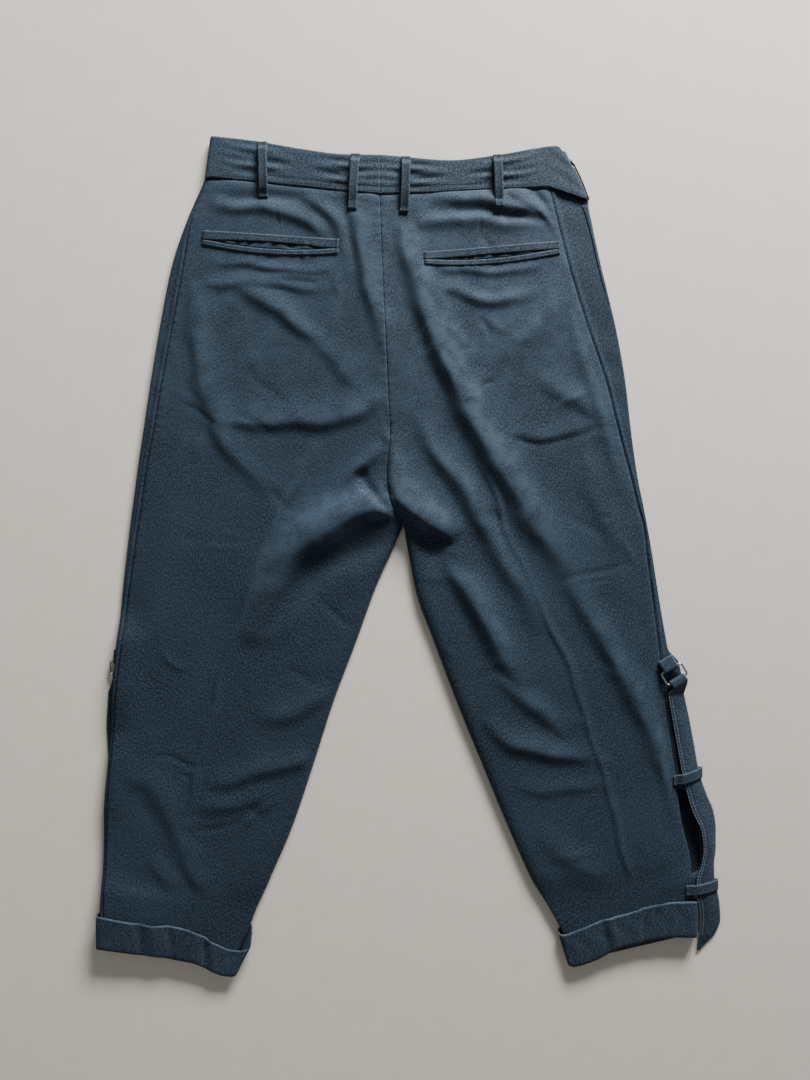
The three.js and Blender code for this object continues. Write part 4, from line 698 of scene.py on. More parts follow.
def grid_faces(points, closed=False):
    """Corner numbers and UVs of a grid's quads. closed joins the last row to the first."""
    rows, cols = points.shape[:2]
    along = np.vstack([points, points[:1]]) if closed else points
    step_v = np.linalg.norm(np.diff(along, axis=0), axis=2).mean(axis=1)
    step_u = np.linalg.norm(np.diff(points, axis=1), axis=2)
    v = np.concatenate([[0], np.cumsum(step_v)])
    u = np.hstack([np.zeros((rows, 1)), np.cumsum(step_u, axis=1)])
    u = u - u.mean(axis=1, keepdims=True)
    i, j = np.meshgrid(np.arange(rows if closed else rows - 1), np.arange(cols - 1), indexing="ij")
    i, j = i.ravel(), j.ravel()
    k = (i + 1) % rows
    quads = np.stack([i * cols + j, k * cols + j, k * cols + j + 1, i * cols + j + 1], axis=1)
    uv = np.stack([
        np.stack([u[i, j], v[i]], 1), np.stack([u[k, j], v[i + 1]], 1),
        np.stack([u[k, j + 1], v[i + 1]], 1), np.stack([u[i, j + 1], v[i]], 1),
    ], axis=1)
    return quads, uv


def vertex_normals(points, quads):
    a, b, c, d = (points[quads[:, n]] for n in range(4))
    face = np.cross(c - a, d - b)
    normal = np.zeros_like(points)
    for n in range(4):
        np.add.at(normal, quads[:, n], face)
    return normal / np.maximum(np.linalg.norm(normal, axis=1, keepdims=True), 1e-12)


def build_shell(name, points, quads, uv, thickness, outward, finish, rub_and_highlight=None, inside=None):
    """A closed shell: outer face, inner face and rim. outward says which way is outside:
    "up", "down", "right" or "round" (away from the middle of the piece)."""
    points = np.asarray(points, float)
    normal = vertex_normals(points, quads)
    middle = points.mean(axis=0)
    score = {
        "up": normal[:, 2].sum(),
        "down": -normal[:, 2].sum(),
        "right": normal[:, 0].sum(),
        "round": ((points - middle) * normal * [1, 1, 4]).sum(),
    }[outward]
    if score < 0:
        quads, uv, normal = quads[:, ::-1], uv[:, ::-1], -normal
    count = len(points)
    inner = points - normal * thickness
    starts, ends = quads.ravel(), np.roll(quads, -1, axis=1).ravel()
    forward = starts.astype(np.int64) * count + ends
    backward = ends.astype(np.int64) * count + starts
    edge = ~np.isin(forward, backward)
    a, b = starts[edge], ends[edge]
    rim = np.stack([b, a, a + count, b + count], axis=1)
    uv_a, uv_b = uv.reshape(-1, 2)[edge], np.roll(uv, -1, axis=1).reshape(-1, 2)[edge]
    faces = np.concatenate([quads, quads[:, ::-1] + count, rim])
    corner_uv = np.concatenate([uv, uv[:, ::-1], np.stack([uv_b, uv_a, uv_a, uv_b], axis=1)])
    vertices = np.concatenate([points, inner]) * MM
    mesh = bpy.data.meshes.new(name)
    mesh.from_pydata(vertices.tolist(), [], faces.tolist())
    layer = mesh.uv_layers.new(name="cloth")
    layer.data.foreach_set("uv", (corner_uv.reshape(-1, 2) * MM).ravel())
    # Paler bloom per point, rims by default: wear, and painted highlight on the edges.
    wear_and_highlight = np.zeros(len(vertices))
    if rub_and_highlight is None:
        wear_and_highlight[np.unique(np.concatenate([a, b, a + count, b + count]))] = 1
    else:
        wear_and_highlight[:count] = rub_and_highlight
    attribute = mesh.attributes.new("wear_and_highlight", "FLOAT", "POINT")
    attribute.data.foreach_set("value", wear_and_highlight)
    mesh.polygons.foreach_set("use_smooth", np.ones(len(faces), bool))
    mesh.materials.append(finish)
    if inside:
        mesh.materials.append(inside)
        is_inner = np.repeat([0, 1, 0], [len(quads), len(quads), len(rim)])
        mesh.polygons.foreach_set("material_index", is_inner)
    mesh.update()
    piece = bpy.data.objects.new(name, mesh)
    bpy.context.scene.collection.objects.link(piece)
    area = np.linalg.norm(np.cross(
        points[quads[:, 2]] - points[quads[:, 0]], points[quads[:, 3]] - points[quads[:, 1]]
    ), axis=1).sum() / 2
    return piece, area * MM * MM


print("shells are", SHELL, "mm thick unless a piece says otherwise")

# %% [markdown]
# ## A cut piece and its size
#
# Each piece of cloth prints what it is cut to before it is sewn. The width is the
# longest row across its grid and the length is the longest column, and a sheet counts as at
# least 10 mm wide. Each piece is named after the solid it stands for, which it hides.

# %% Cut size and attaching
LEAST_SIDE = 0.01


def cut_size(points, closed=False):
    """Width and length of the strip or panel as it was cut, in metres."""
    along = np.vstack([points, points[:1]]) if closed else points
    width = np.linalg.norm(np.diff(points, axis=1), axis=2).sum(axis=1).max()
    length = np.linalg.norm(np.diff(along, axis=0), axis=2).sum(axis=0).max()
    return max(width * MM, LEAST_SIDE), max(length * MM, LEAST_SIDE)


def declare(piece, node, flat):
    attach(piece, "root")
    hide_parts(node)
    print(piece.name, len(piece.data.polygons), "faces, cut", [round(v, 3) for v in flat], "m")
    return piece


def cloth(node, points, finish, thickness=SHELL, outward="up", closed=False, inside=None):
    """One cut piece of cloth from its grid: a shell that stands for its CAD node."""
    quads, uv = grid_faces(points, closed)
    piece, area = build_shell(
        f"{node}_cloth", points.reshape(-1, 3), quads, uv, thickness, outward, finish, inside=inside)
    return declare(piece, node, cut_size(points, closed))


print("a sheet is at least", LEAST_SIDE, "m wide")

# %% [markdown]
# ## Brushed twill
#
# Charcoal cotton twill shows three things: fine diagonal ribs, a heathered mix of darker and
# paler yarns, and a paler bloom. The bloom is partly wear and partly painted light: painted
# highlight along edges and on the crests of creases, and painted light on the seat, paler
# towards the waistband and the right. A shader node group makes them once, and each cloth
# finish places the group with its own colours. It reads the piece's own UV map, and gives a
# colour, a roughness and a height for the Bump node. The shader itself, with a little sheen
# for the brushed nap, stays in each material.

# %% Helpers for node trees
def group_with(name, inputs, outputs):
    tree = bpy.data.node_groups.new(name, "ShaderNodeTree")
    for label, kind, default in inputs:
        tree.interface.new_socket(name=label, in_out="INPUT", socket_type=kind).default_value = default
    for label, kind in outputs:
        tree.interface.new_socket(name=label, in_out="OUTPUT", socket_type=kind)
    return tree, tree.nodes.new("NodeGroupInput"), tree.nodes.new("NodeGroupOutput")


def add_node(tree, kind, links=None, **values):
    """A node with its properties set. links maps an input's name or number to a socket or value."""
    node = tree.nodes.new(kind)
    for key, value in values.items():
        setattr(node, key, value)
    for key, value in (links or {}).items():
        if isinstance(value, bpy.types.NodeSocket):
            tree.links.new(value, node.inputs[key])
        else:
            node.inputs[key].default_value = value
    return node


def maths(tree, operation, *values, **options):
    """A Math node on sockets or numbers."""
    links = dict(enumerate(values))
    return add_node(tree, "ShaderNodeMath", links, operation=operation, **options)


print("node helpers ready")

# %% Node group for the weave
YARN_SCALE, SLUB_SCALE, FLECK_FLOOR, RIB_SHARE = 740.0, (1150.0, 380.0, 1.0), -0.05, 0.14


def brushed_twill_group():
    tree, given, result = group_with("brushed_twill", [
        ("Deep", "NodeSocketColor", (0.03, 0.045, 0.06, 1)),
        ("Pale", "NodeSocketColor", (0.09, 0.12, 0.145, 1)),
        ("Rub And Highlight", "NodeSocketColor", (0.16, 0.2, 0.23, 1)),
        ("Rib Pitch", "NodeSocketFloat", 0.0011),
        ("Heather", "NodeSocketFloat", 0.5),
        ("Wear And Highlight", "NodeSocketFloat", 0.5),
    ], [("Color", "NodeSocketColor"), ("Roughness", "NodeSocketFloat"), ("Height", "NodeSocketFloat")])
    where = add_node(tree, "ShaderNodeUVMap", uv_map="cloth").outputs["UV"]
    place = add_node(tree, "ShaderNodeTexCoord").outputs["Object"]
    split = add_node(tree, "ShaderNodeSeparateXYZ", {0: where})
    slant = maths(tree, "ADD", split.outputs["X"], split.outputs["Y"])
    turns = maths(tree, "DIVIDE", slant.outputs[0], given.outputs["Rib Pitch"])
    angle = maths(tree, "MULTIPLY", turns.outputs[0], 2 * math.pi)
    wave = maths(tree, "SINE", angle.outputs[0])
    rib = add_node(tree, "ShaderNodeMapRange", {"Value": wave.outputs[0], "From Min": -1.0})
    yarn = add_node(tree, "ShaderNodeTexNoise", {"Vector": where, "Scale": YARN_SCALE, "Detail": 2.0})
    slub = add_node(tree, "ShaderNodeMapping", {"Vector": where, "Scale": SLUB_SCALE})
    thread = add_node(tree, "ShaderNodeTexNoise", {
        "Vector": slub.outputs[0], "Scale": 1.0, "Detail": 1.0})
    cloud = add_node(tree, "ShaderNodeTexNoise", {
        "Vector": place, "Scale": 9.0, "Detail": 4.0, "Roughness": 0.55})
    fade = add_node(tree, "ShaderNodeTexNoise", {"Vector": place, "Scale": 60.0, "Detail": 3.0})
    mixed = maths(tree, "ADD", yarn.outputs[0], thread.outputs[0])
    heather = maths(tree, "SUBTRACT", mixed.outputs[0], 1.0)
    heather = maths(tree, "MAXIMUM", heather.outputs[0], FLECK_FLOOR)
    heather = maths(tree, "MULTIPLY", heather.outputs[0], given.outputs["Heather"])
    cloudy = add_node(tree, "ShaderNodeMapRange", {
        "Value": cloud.outputs[0], "From Min": 0.3, "From Max": 0.7, "To Min": 0.22, "To Max": 0.5})
    tone = maths(tree, "ADD", heather.outputs[0], cloudy.outputs[0])
    ribbed = maths(tree, "MULTIPLY_ADD", rib.outputs[0], RIB_SHARE, tone.outputs[0])
    tone = add_node(tree, "ShaderNodeClamp", {0: ribbed.outputs[0]})
    base = add_node(tree, "ShaderNodeMix", {
        0: tone.outputs[0], 6: given.outputs["Deep"], 7: given.outputs["Pale"]}, data_type="RGBA")
    # Paler bloom: wear, painted light on the seat and painted highlight on edges and crests.
    wear_and_highlight = add_node(tree, "ShaderNodeAttribute", attribute_name="wear_and_highlight")
    patchy = add_node(tree, "ShaderNodeMapRange", {
        "Value": fade.outputs[0], "From Min": 0.38, "From Max": 0.62, "To Min": 0.25, "To Max": 1.0})
    rub_and_highlight = maths(tree, "MULTIPLY", wear_and_highlight.outputs["Fac"], patchy.outputs[0])
    rub_and_highlight = maths(tree, "MULTIPLY", rub_and_highlight.outputs[0], given.outputs["Wear And Highlight"], use_clamp=True)
    colour = add_node(tree, "ShaderNodeMix", {
        0: rub_and_highlight.outputs[0], 6: base.outputs[2], 7: given.outputs["Rub And Highlight"]}, data_type="RGBA")
    tree.links.new(colour.outputs[2], result.inputs["Color"])
    rough = add_node(tree, "ShaderNodeMapRange", {"Value": tone.outputs[0], "To Min": 0.85, "To Max": 0.62})
    tree.links.new(rough.outputs[0], result.inputs["Roughness"])
    relief = maths(tree, "MULTIPLY_ADD", mixed.outputs[0], 0.4, rib.outputs[0])
    tree.links.new(relief.outputs[0], result.inputs["Height"])
    return tree


TWILL_GROUP = brushed_twill_group()
print(len(TWILL_GROUP.nodes), "nodes in the weave")

# %% Cloth finishes
def cloth_finish(name, deep, pale, rub_and_highlight_colour, pitch=0.0011, heather=5.2, wear_and_highlight_amount=0.5, sheen=0.05, bump=0.25):
    material = bpy.data.materials.new(name)
    material.use_nodes = True
    tree = material.node_tree
    shader = tree.nodes["Principled BSDF"]
    weave = tree.nodes.new("ShaderNodeGroup")
    weave.node_tree = TWILL_GROUP
    for label, value in (("Deep", deep), ("Pale", pale), ("Rub And Highlight", rub_and_highlight_colour)):
        weave.inputs[label].default_value = (*value, 1)
    for label, value in (("Rib Pitch", pitch), ("Heather", heather), ("Wear And Highlight", wear_and_highlight_amount)):
        weave.inputs[label].default_value = value
    relief = add_node(tree, "ShaderNodeBump", {
        "Height": weave.outputs["Height"], "Distance": 0.0003, "Strength": bump})
    tree.links.new(weave.outputs["Color"], shader.inputs["Base Color"])
    tree.links.new(weave.outputs["Roughness"], shader.inputs["Roughness"])
    tree.links.new(relief.outputs[0], shader.inputs["Normal"])
    shader.inputs["Sheen Weight"].default_value = sheen
    shader.inputs["Sheen Roughness"].default_value = 0.6
    shader.inputs["Sheen Tint"].default_value = (0.75, 0.88, 1.0, 1)
    shader.inputs["Specular IOR Level"].default_value = 0.2
    return material


# The third colour of each finish is the paler bloom: wear and painted highlight.
twill = cloth_finish(
    "charcoal_twill", (0.002, 0.005, 0.010), (0.032, 0.056, 0.084), (0.085, 0.125, 0.175), wear_and_highlight_amount=0.5)
band_twill = cloth_finish(
    "waistband_twill", (0.003, 0.007, 0.013), (0.046, 0.074, 0.106), (0.10, 0.135, 0.18), wear_and_highlight_amount=0.35)
trim_twill = cloth_finish(
    "trim_twill", (0.002, 0.005, 0.010), (0.040, 0.066, 0.095), (0.10, 0.135, 0.175), wear_and_highlight_amount=0.45)
# A much darker wrong side: painted shade for the inside of the leg seen through the vent.
inside_painted_shade = cloth_finish(
    "wrong_side_painted_shade", (0.002, 0.004, 0.006), (0.014, 0.022, 0.030), (0.03, 0.04, 0.05), pitch=0.0016)
print("finishes", [m.name for m in (twill, band_twill, trim_twill, inside_painted_shade)])

# %% [markdown]
# ## Wire and thread
#
# The rings are dull steel wire: metal, a little rough, and uneven. The sewing thread
# is a shade paler than the cloth, the long stitches down the strap are paler still and the
# bar tacks are nearly black.

# %% Wire and thread finishes
def plain_finish(name, low, high, rough, metallic=0.0, scale=300.0):
    material = bpy.data.materials.new(name)
    material.use_nodes = True
    tree = material.node_tree
    shader = tree.nodes["Principled BSDF"]
    place = add_node(tree, "ShaderNodeTexCoord").outputs["Object"]
    grain = add_node(tree, "ShaderNodeTexNoise", {"Vector": place, "Scale": scale, "Detail": 3.0})
    tint = add_node(tree, "ShaderNodeMix", {
        0: grain.outputs[0], 6: (*low, 1), 7: (*high, 1)}, data_type="RGBA")
    spread = add_node(tree, "ShaderNodeMapRange", {
        "Value": grain.outputs[0], "To Min": rough - 0.12, "To Max": rough + 0.12})
    tree.links.new(tint.outputs[2], shader.inputs["Base Color"])
    tree.links.new(spread.outputs[0], shader.inputs["Roughness"])
    shader.inputs["Metallic"].default_value = metallic
    return material


ring_steel = plain_finish("ring_steel", (0.34, 0.33, 0.31), (0.58, 0.57, 0.54), 0.36, 1.0)
thread = plain_finish("thread", (0.06, 0.08, 0.10), (0.14, 0.17, 0.2), 0.7, scale=900.0)
pale_thread = plain_finish("pale_thread", (0.11, 0.15, 0.18), (0.20, 0.25, 0.29), 0.7, scale=900.0)
dark_thread = plain_finish("dark_thread", (0.012, 0.016, 0.02), (0.03, 0.036, 0.042), 0.8, scale=900.0)
zip_tape = plain_finish("zip_tape", (0.010, 0.012, 0.015), (0.03, 0.034, 0.04), 0.8, scale=1200.0)
print("wire and thread ready")

# %% [markdown]
# ## Back panels
#
# A back panel runs from the side seam to the centre back seam and the inseam. Its height is
# the crown of the laid cloth plus the creases, which fade out at sewn edges, where the
# cloth is held down. The seam itself gets a soft roll and small puckers from the stitching.
# The pocket mouth is a slit: one row of the grid follows it, is doubled, and the two lips
# are drawn apart, as a worn pocket gapes. A Boolean cut would leave ragged triangles there.

# %% Height of a back panel
BACK_POCKETS = {
    "left": {"x1": -223.0, "y1": 340.7, "x2": -76.7, "y2": 331.0, "rise": 3.4, "droop": 6.4},
    "right": {"x1": 16.2, "y1": 318.6, "x2": 162.0, "y2": 331.0, "rise": 1.6, "droop": 5.6},
}
BACK_SPACING, BACK_WIDTH, CENTRE_OVERLAP = 2.6, 270, 0.4
BACK_CUT, BACK_STATIONS = (0.34, 0.92), 96


def back_height(side, leg, share, x, y):
    """Top of a back panel at share of the way from the side seam to the inner edge."""
    width = np.abs(leg["innerX"] - leg["seamX"])
    from_seam, from_inner = share * width, (1 - share) * width
    edge = under_lift(side, leg["foldX"], leg["foldY"]) + HEM_LIFT * leg["hem"] + leg["loft"]
    edge = edge + GAP + WALL
    rise = mix(edge, CROWN, ease(from_seam, 4, SEAM_EASE))
    roll = np.sqrt(1 - (1 - np.clip(from_inner / INSEAM_ROLL, 0, 1)) ** 2)
    fade = ease(from_seam, 2, 16) * mix(1, ease(from_inner, 2, 14), leg["split"])
    body = mix(rise, mix(INSEAM_TOP, rise, roll), leg["split"]) + back_creases(x, y) * fade
    hem_inner = HEM_LIFT + WALL + GAP + WALL
    top = mix(body, mix(edge, hem_inner, share), leg["hem"])
    pucker = 0.22 * np.sin(y / 1.35 + 2 * np.sin(y / 17)) * np.exp(-((from_seam / 7) ** 2))
    pucker += 0.22 * np.sin(y / 1.5 + 2 * np.sin(y / 13)) * np.exp(-((from_inner / 7) ** 2))
    from_waist = LEG_ROWS[side]["seamY"][0] - leg["seamY"]
    side_sunk = 0.3 if side == "left" else 0.3 + 0.7 * (1 - leg["hem"])
    sunk = side_sunk * np.exp(-((from_seam / 3) ** 2)) + 0.4 * np.exp(-((from_inner / 1.6) ** 2))
    sunk = sunk + 1.1 * np.exp(-((from_waist / 3.2) ** 2))
    return top + pucker * (1 - leg["hem"]) - sunk


print("the backs overlap by", 2 * CENTRE_OVERLAP, "mm at the centre seam, so no gap shows")

# %% Grid of a back panel
def mouth_share(pocket, x):
    return np.clip((x - pocket["x1"]) / (pocket["x2"] - pocket["x1"]), 0, 1)


def mouth_open(pocket, share, which):
    return pocket[which] * np.sin(np.pi * share) ** 0.8


def back_grid(side):
    """The panel's points, and the row that follows the pocket mouth."""
    rows = int(leg_length[side] / BACK_SPACING)
    cols = int(BACK_WIDTH / BACK_SPACING)
    down = np.linspace(0, leg_length[side], rows)[:, None]
    leg = leg_at(side, down)
    leg["innerX"] = leg["innerX"] + (CENTRE_OVERLAP if side == "left" else -CENTRE_OVERLAP)
    share = np.linspace(0, 1, cols)[None, :]
    x = mix(leg["seamX"], leg["innerX"], share)
    y = mix(leg["seamY"], leg["innerY"], share)
    pocket = BACK_POCKETS[side]
    middle = (pocket["x1"] + pocket["x2"]) / 2
    column = np.argmin(np.abs(x[20] - middle))
    row = int(np.argmin(np.abs(y[:, column] - (pocket["y1"] + pocket["y2"]) / 2)))
    slope = (pocket["y2"] - pocket["y1"]) / (pocket["x2"] - pocket["x1"])
    mouth_y = pocket["y1"] + slope * (x[row] - pocket["x1"])
    distance = y - y[row]
    held = ease(np.abs(x - leg["seamX"]), 1, 14) * ease(np.abs(x - leg["innerX"]), 5, 30)
    y = y + (mouth_y - y[row])[None, :] * np.exp(-((distance / 40) ** 2)) * held
    return x, y, share, leg, row


print("back grids", [back_grid(side)[0].shape for side in ("left", "right")])

# %% Shells of the back
def wear_and_highlight_share(points):
    """Paler bloom of the back: wear and painted light on the seat, paler towards the waistband and the
    right, and painted highlight on the crests of creases.
    """
    x, y, _ = points.T
    seat = ease(y, -60, 320) * (0.55 + 0.45 * ease(x, -150, 60))
    # The crests' paleness is painted highlight; the seat's is wear with painted light, paler to the right.
    crests = ease(back_creases(x, y), 0.6, 5.5)
    return np.clip(0.5 * seat + 0.55 * crests, 0, 1)


def back_panel(side):
    x, y, share, leg, row = back_grid(side)
    pocket = BACK_POCKETS[side]
    t = mouth_share(pocket, x)
    distance = y - y[row]
    upper_y = y + mouth_open(pocket, t, "rise") * np.exp(-((distance / 26) ** 2))
    lower_y = y - mouth_open(pocket, t, "droop") * np.exp(-((distance / 30) ** 2))
    halves = []
    for part, moved in (("upper", upper_y[: row + 1]), ("lower", lower_y[row:])):
        span = slice(0, row + 1) if part == "upper" else slice(row, None)
        some = {key: value[span] for key, value in leg.items()}
        z = back_height(side, some, share, x[span], moved)
        lip = np.exp(-((distance[span] / 5) ** 2)) * np.sin(np.pi * t[span]) ** 0.6
        halves.append(np.stack([x[span], moved, z + lip * (0.5 if part == "upper" else 0.9)], axis=2))
    upper, lower = halves
    flat_points = np.concatenate([upper.reshape(-1, 3), lower.reshape(-1, 3)])
    cols = x.shape[1]
    offset = upper.shape[0] * cols
    same = (t[row] <= 0) | (t[row] >= 1)
    target = np.arange(len(flat_points))
    target[offset:offset + cols][same] = np.arange(row * cols, offset)[same]
    quads_a, uv_a = grid_faces(upper)
    quads_b, uv_b = grid_faces(lower)
    uv_b = uv_b + [0, uv_a[:, :, 1].max()]
    quads = target[np.concatenate([quads_a, quads_b + offset])]
    used, quads = np.unique(quads, return_inverse=True)
    flat_points = flat_points[used]
    # The back's paler bloom: wear and painted light on the seat, painted highlight on the crests.
    piece, area = build_shell(
        f"back_{side}_cloth", flat_points, quads.reshape(-1, 4),
        np.concatenate([uv_a, uv_b]), SHELL, "up", twill, wear_and_highlight_share(flat_points))
    return declare(piece, f"back_{side}", BACK_CUT)


for side in ("left", "right"):
    back_panel(side)

# %% [markdown]
# ## A place on the finished cloth
#
# Welts, loops, seams and stitches lie on the panels, so a helper gives the height of the
# back at any point: it finds the section that passes through the point, in a few steps.

# %% Height of the back at a point
def on_back(side, x, y):
    x, y = np.broadcast_arrays(np.asarray(x, float), np.asarray(y, float))
    down = LEG_ROWS[side]["seamY"][0] - y
    for _ in range(6):
        leg = leg_at(side, down)
        share = np.clip((x - leg["seamX"]) / (leg["innerX"] - leg["seamX"]), 0, 1)
        down = np.clip(down + mix(leg["seamY"], leg["innerY"], share) - y, 0, leg_length[side])
    leg = leg_at(side, down)
    share = np.clip((x - leg["seamX"]) / (leg["innerX"] - leg["seamX"]), 0, 1)
    return back_height(side, leg, share, x, y)


print("back at the seat", round(float(on_back("left", -140, 250)), 2), "mm high")

# %% [markdown]
# ## Front panels
#
# Each front is one sheet: it lies on the floor from the centre front or the inseam, turns
# up round the side fold and ends as a strip beside the side seam, just under the back
# panel. On the right leg the side seam is left open above the hem, and the strip draws back
# there, so the inside of the leg shows. Its wrong side is painted much darker than the cloth,
# as painted shade inside the leg. The left front laps over the right
# one at the fly, which is lifted by the cloth and the zip.

# %% Fly, vent and fold of the fronts
FLY = {"lap": 16.0, "under": 10.0, "bottom": 195.0, "top": 225.0, "clear": 170.0}
ZIP_THICK = 0.8
FLY_LIFT = WALL + GAP + ZIP_THICK + GAP
VENT = {"top": -246.0, "bottom": -346.0, "ramp": 16.0, "depth": 27.0}
FRONT_SPACING, SEAM_GAP = 4, 0.2


def front_inner(side, leg, down):
    lap = FLY["lap"] - SEAM_GAP if side == "left" else -FLY["under"] + SEAM_GAP
    opened = np.where(down < crotch_down[side], ease(leg["frontY"], FLY["bottom"], FLY["top"]), 0)
    return leg["frontX"] + (-SEAM_GAP if side == "left" else SEAM_GAP) + lap * opened, leg["frontY"]


def front_lift(side, leg, x, y, down):
    lift = under_lift(side, x, y) + HEM_LIFT * leg["hem"]
    if side == "left":
        return lift
    near = 1 - ease(x - leg["frontX"], FLY["lap"] + 2, FLY["lap"] + 16)
    fly = FLY_LIFT * near * ease(y, FLY["clear"], FLY["bottom"] - 2)
    return lift + np.where(down > crotch_down["right"], 0, fly)


def vent_open(y):
    half = (VENT["top"] - VENT["bottom"]) / 2
    return windowed(y, (VENT["top"] + VENT["bottom"]) / 2, half - VENT["ramp"], VENT["ramp"])


def fold_bulge(y):
    """The right fold swells out a little behind the ring, and under the strap at the vent."""
    return 9.0 * windowed(y, -122, 7, 15) + 9.0 * windowed(y, -294, 34, 26)


print("the vent is", VENT["top"] - VENT["bottom"], "mm long")

# %% Shells of the front
def front_panel(side):
    down = np.linspace(0, leg_length[side], int(leg_length[side] / FRONT_SPACING))[:, None]
    leg = leg_at(side, down)
    if side == "right":
        leg["foldX"] = leg["foldX"] + fold_bulge(leg["foldY"])
    inner_x, inner_y = front_inner(side, leg, down)
    reach = np.hypot(inner_x - leg["foldX"], inner_y - leg["foldY"])
    ux, uy = (inner_x - leg["foldX"]) / reach, (inner_y - leg["foldY"]) / reach
    radius = leg["loft"] / 2
    parts = []
    flat = mix(reach, radius + 1, np.linspace(0, 1, 52)[None, :-1])
    x, y = leg["foldX"] + ux * flat, leg["foldY"] + uy * flat
    soft = np.maximum(ridges(UNDER_FOLDS, x, y) + ridges(FAINT_UNDER, x, y), 0)
    held = ease(flat, 10, 34) * ease(reach - flat, 4, 20) * (1 - leg["hem"])
    parts.append(np.stack([x, y, front_lift(side, leg, x, y, down) + soft * held], axis=2))
    lift = front_lift(side, leg, leg["foldX"], leg["foldY"], down)
    turn = np.radians(np.linspace(-90, 90, 13))[None, :]
    away = radius * (1 - np.cos(turn))
    parts.append(np.stack([
        leg["foldX"] + ux * away, leg["foldY"] + uy * away, lift + radius + radius * np.sin(turn)], axis=2))
    seam_reach = np.hypot(leg["seamX"] - leg["foldX"], leg["seamY"] - leg["foldY"])
    opened = vent_open(leg["seamY"]) if side == "right" else 0
    end = np.maximum(seam_reach + LAP - VENT["depth"] * opened, radius + 1.2)
    edge_x = leg["foldX"] + (leg["seamX"] - leg["foldX"]) / seam_reach * end
    edge_y = leg["foldY"] + (leg["seamY"] - leg["foldY"]) / seam_reach * end
    t = np.linspace(0, 1, 18)[None, 1:]
    x, y = mix(leg["foldX"] + ux * radius, edge_x, t), mix(leg["foldY"] + uy * radius, edge_y, t)
    wave = 0.35 * np.sin(y / 9 + 2 * np.sin(y / 31)) * np.sin(np.pi * t)
    from_end = (1 - t) * np.hypot(edge_x - x[:, :1], edge_y - y[:, :1])
    seam_roll = 1.5 * np.exp(-(((from_end - LAP - 2.8) / 2.1) ** 2)) * (1 - opened)
    parts.append(np.stack([x, y, lift + leg["loft"] + wave + seam_roll], axis=2))
    points = np.concatenate(parts, axis=1)
    # The inner faces take the darker wrong side, painted shade inside the leg.
    return cloth(f"front_{side}", points, twill, outward="down", inside=inside_painted_shade)


for side in ("left", "right"):
    front_panel(side)

# %% [markdown]
# ## Welt pockets
#
# Each back pocket has two narrow welts, one along each lip, and a facing that shows in the
# mouth. The welts are folded strips that lie on the panel and hide the cut. The facing is
# pushed into small crinkles, because the pocket bag behind it has no other room.

# %% Welts and facings
WELT = {"upper": 7.0, "lower": 4.6, "over": 1.2, "facing": 12.0}


def mouth_point(pocket, t, offset):
    length = math.hypot(pocket["x2"] - pocket["x1"], pocket["y2"] - pocket["y1"])
    nx, ny = -(pocket["y2"] - pocket["y1"]) / length, (pocket["x2"] - pocket["x1"]) / length
    return (mix(pocket["x1"], pocket["x2"], t) + nx * offset,
            mix(pocket["y1"], pocket["y2"], t) + ny * offset)


def pocket_strip(side, start, end, cols, raise_by):
    pocket = BACK_POCKETS[side]
    t = np.linspace(0, 1, 75)[:, None]
    v = np.linspace(0, 1, cols)[None, :]
    x, y = mouth_point(pocket, t, mix(start(t), end(t), v))
    x, y = np.broadcast_arrays(x, y)
    return np.stack([x, y, on_back(side, x, y) + raise_by(t, v)], axis=2)


def pocket_pieces(side):
    pocket = BACK_POCKETS[side]
    rise = lambda t: mouth_open(pocket, t, "rise")
    droop = lambda t: -mouth_open(pocket, t, "droop")
    soft = lambda t, v: (
        GAP + 0.7 + 0.35 * np.sin(np.pi * v)
        + 0.25 * np.sin(t * 61 + 2 * np.sin(t * 17)) * np.sin(np.pi * t)
        - 0.3 * np.exp(-(((v - 0.55) / 0.09) ** 2)))
    upper = pocket_strip(
        side, lambda t: np.maximum(rise(t) - WELT["over"], 0.15),
        lambda t: pocket["rise"] + WELT["upper"] + 0 * t, 9, soft)
    lower = pocket_strip(
        side, lambda t: np.minimum(droop(t) + WELT["over"], -0.15),
        lambda t: droop(t) - WELT["lower"], 7, soft)

    def crinkle(t, v):
        offset = WELT["facing"] * (1 - 2 * v)
        pillow = ease(rise(t) - offset, 0.6, 2.2) * ease(offset - droop(t), 0.4, 2.4)
        small = 0.4 * np.sin(t * 52 + 3 * np.sin(v * 5 + t * 9)) + 0.3 * np.sin(t * 23 + v * 6)
        return mix(-WALL - GAP - 0.6, 0.2 + small, pillow)

    facing = pocket_strip(
        side, lambda t: WELT["facing"] + 0 * t, lambda t: -WELT["facing"] + 0 * t, 41, crinkle)
    cloth(f"pocket_upper_welt_{side}", upper, trim_twill, 0.9)
    cloth(f"pocket_lower_welt_{side}", lower, trim_twill, 0.9)
    cloth(f"pocket_facing_{side}", facing, trim_twill, 0.6)
    return upper, lower


welts = {side: pocket_pieces(side) for side in ("left", "right")}

# %% [markdown]
# ## Pocket edges on the fronts
#
# The slanted front pockets open on the fronts, so only a narrow edge of each shows: on the
# right it crosses the strip beside the side seam, on the left it lies under the leg.

# %% Pocket edges
POCKET_EDGE = {"wide": 5.0, "from": 8.0, "length": 116.0, "top": 35.0, "foot": 31.0}


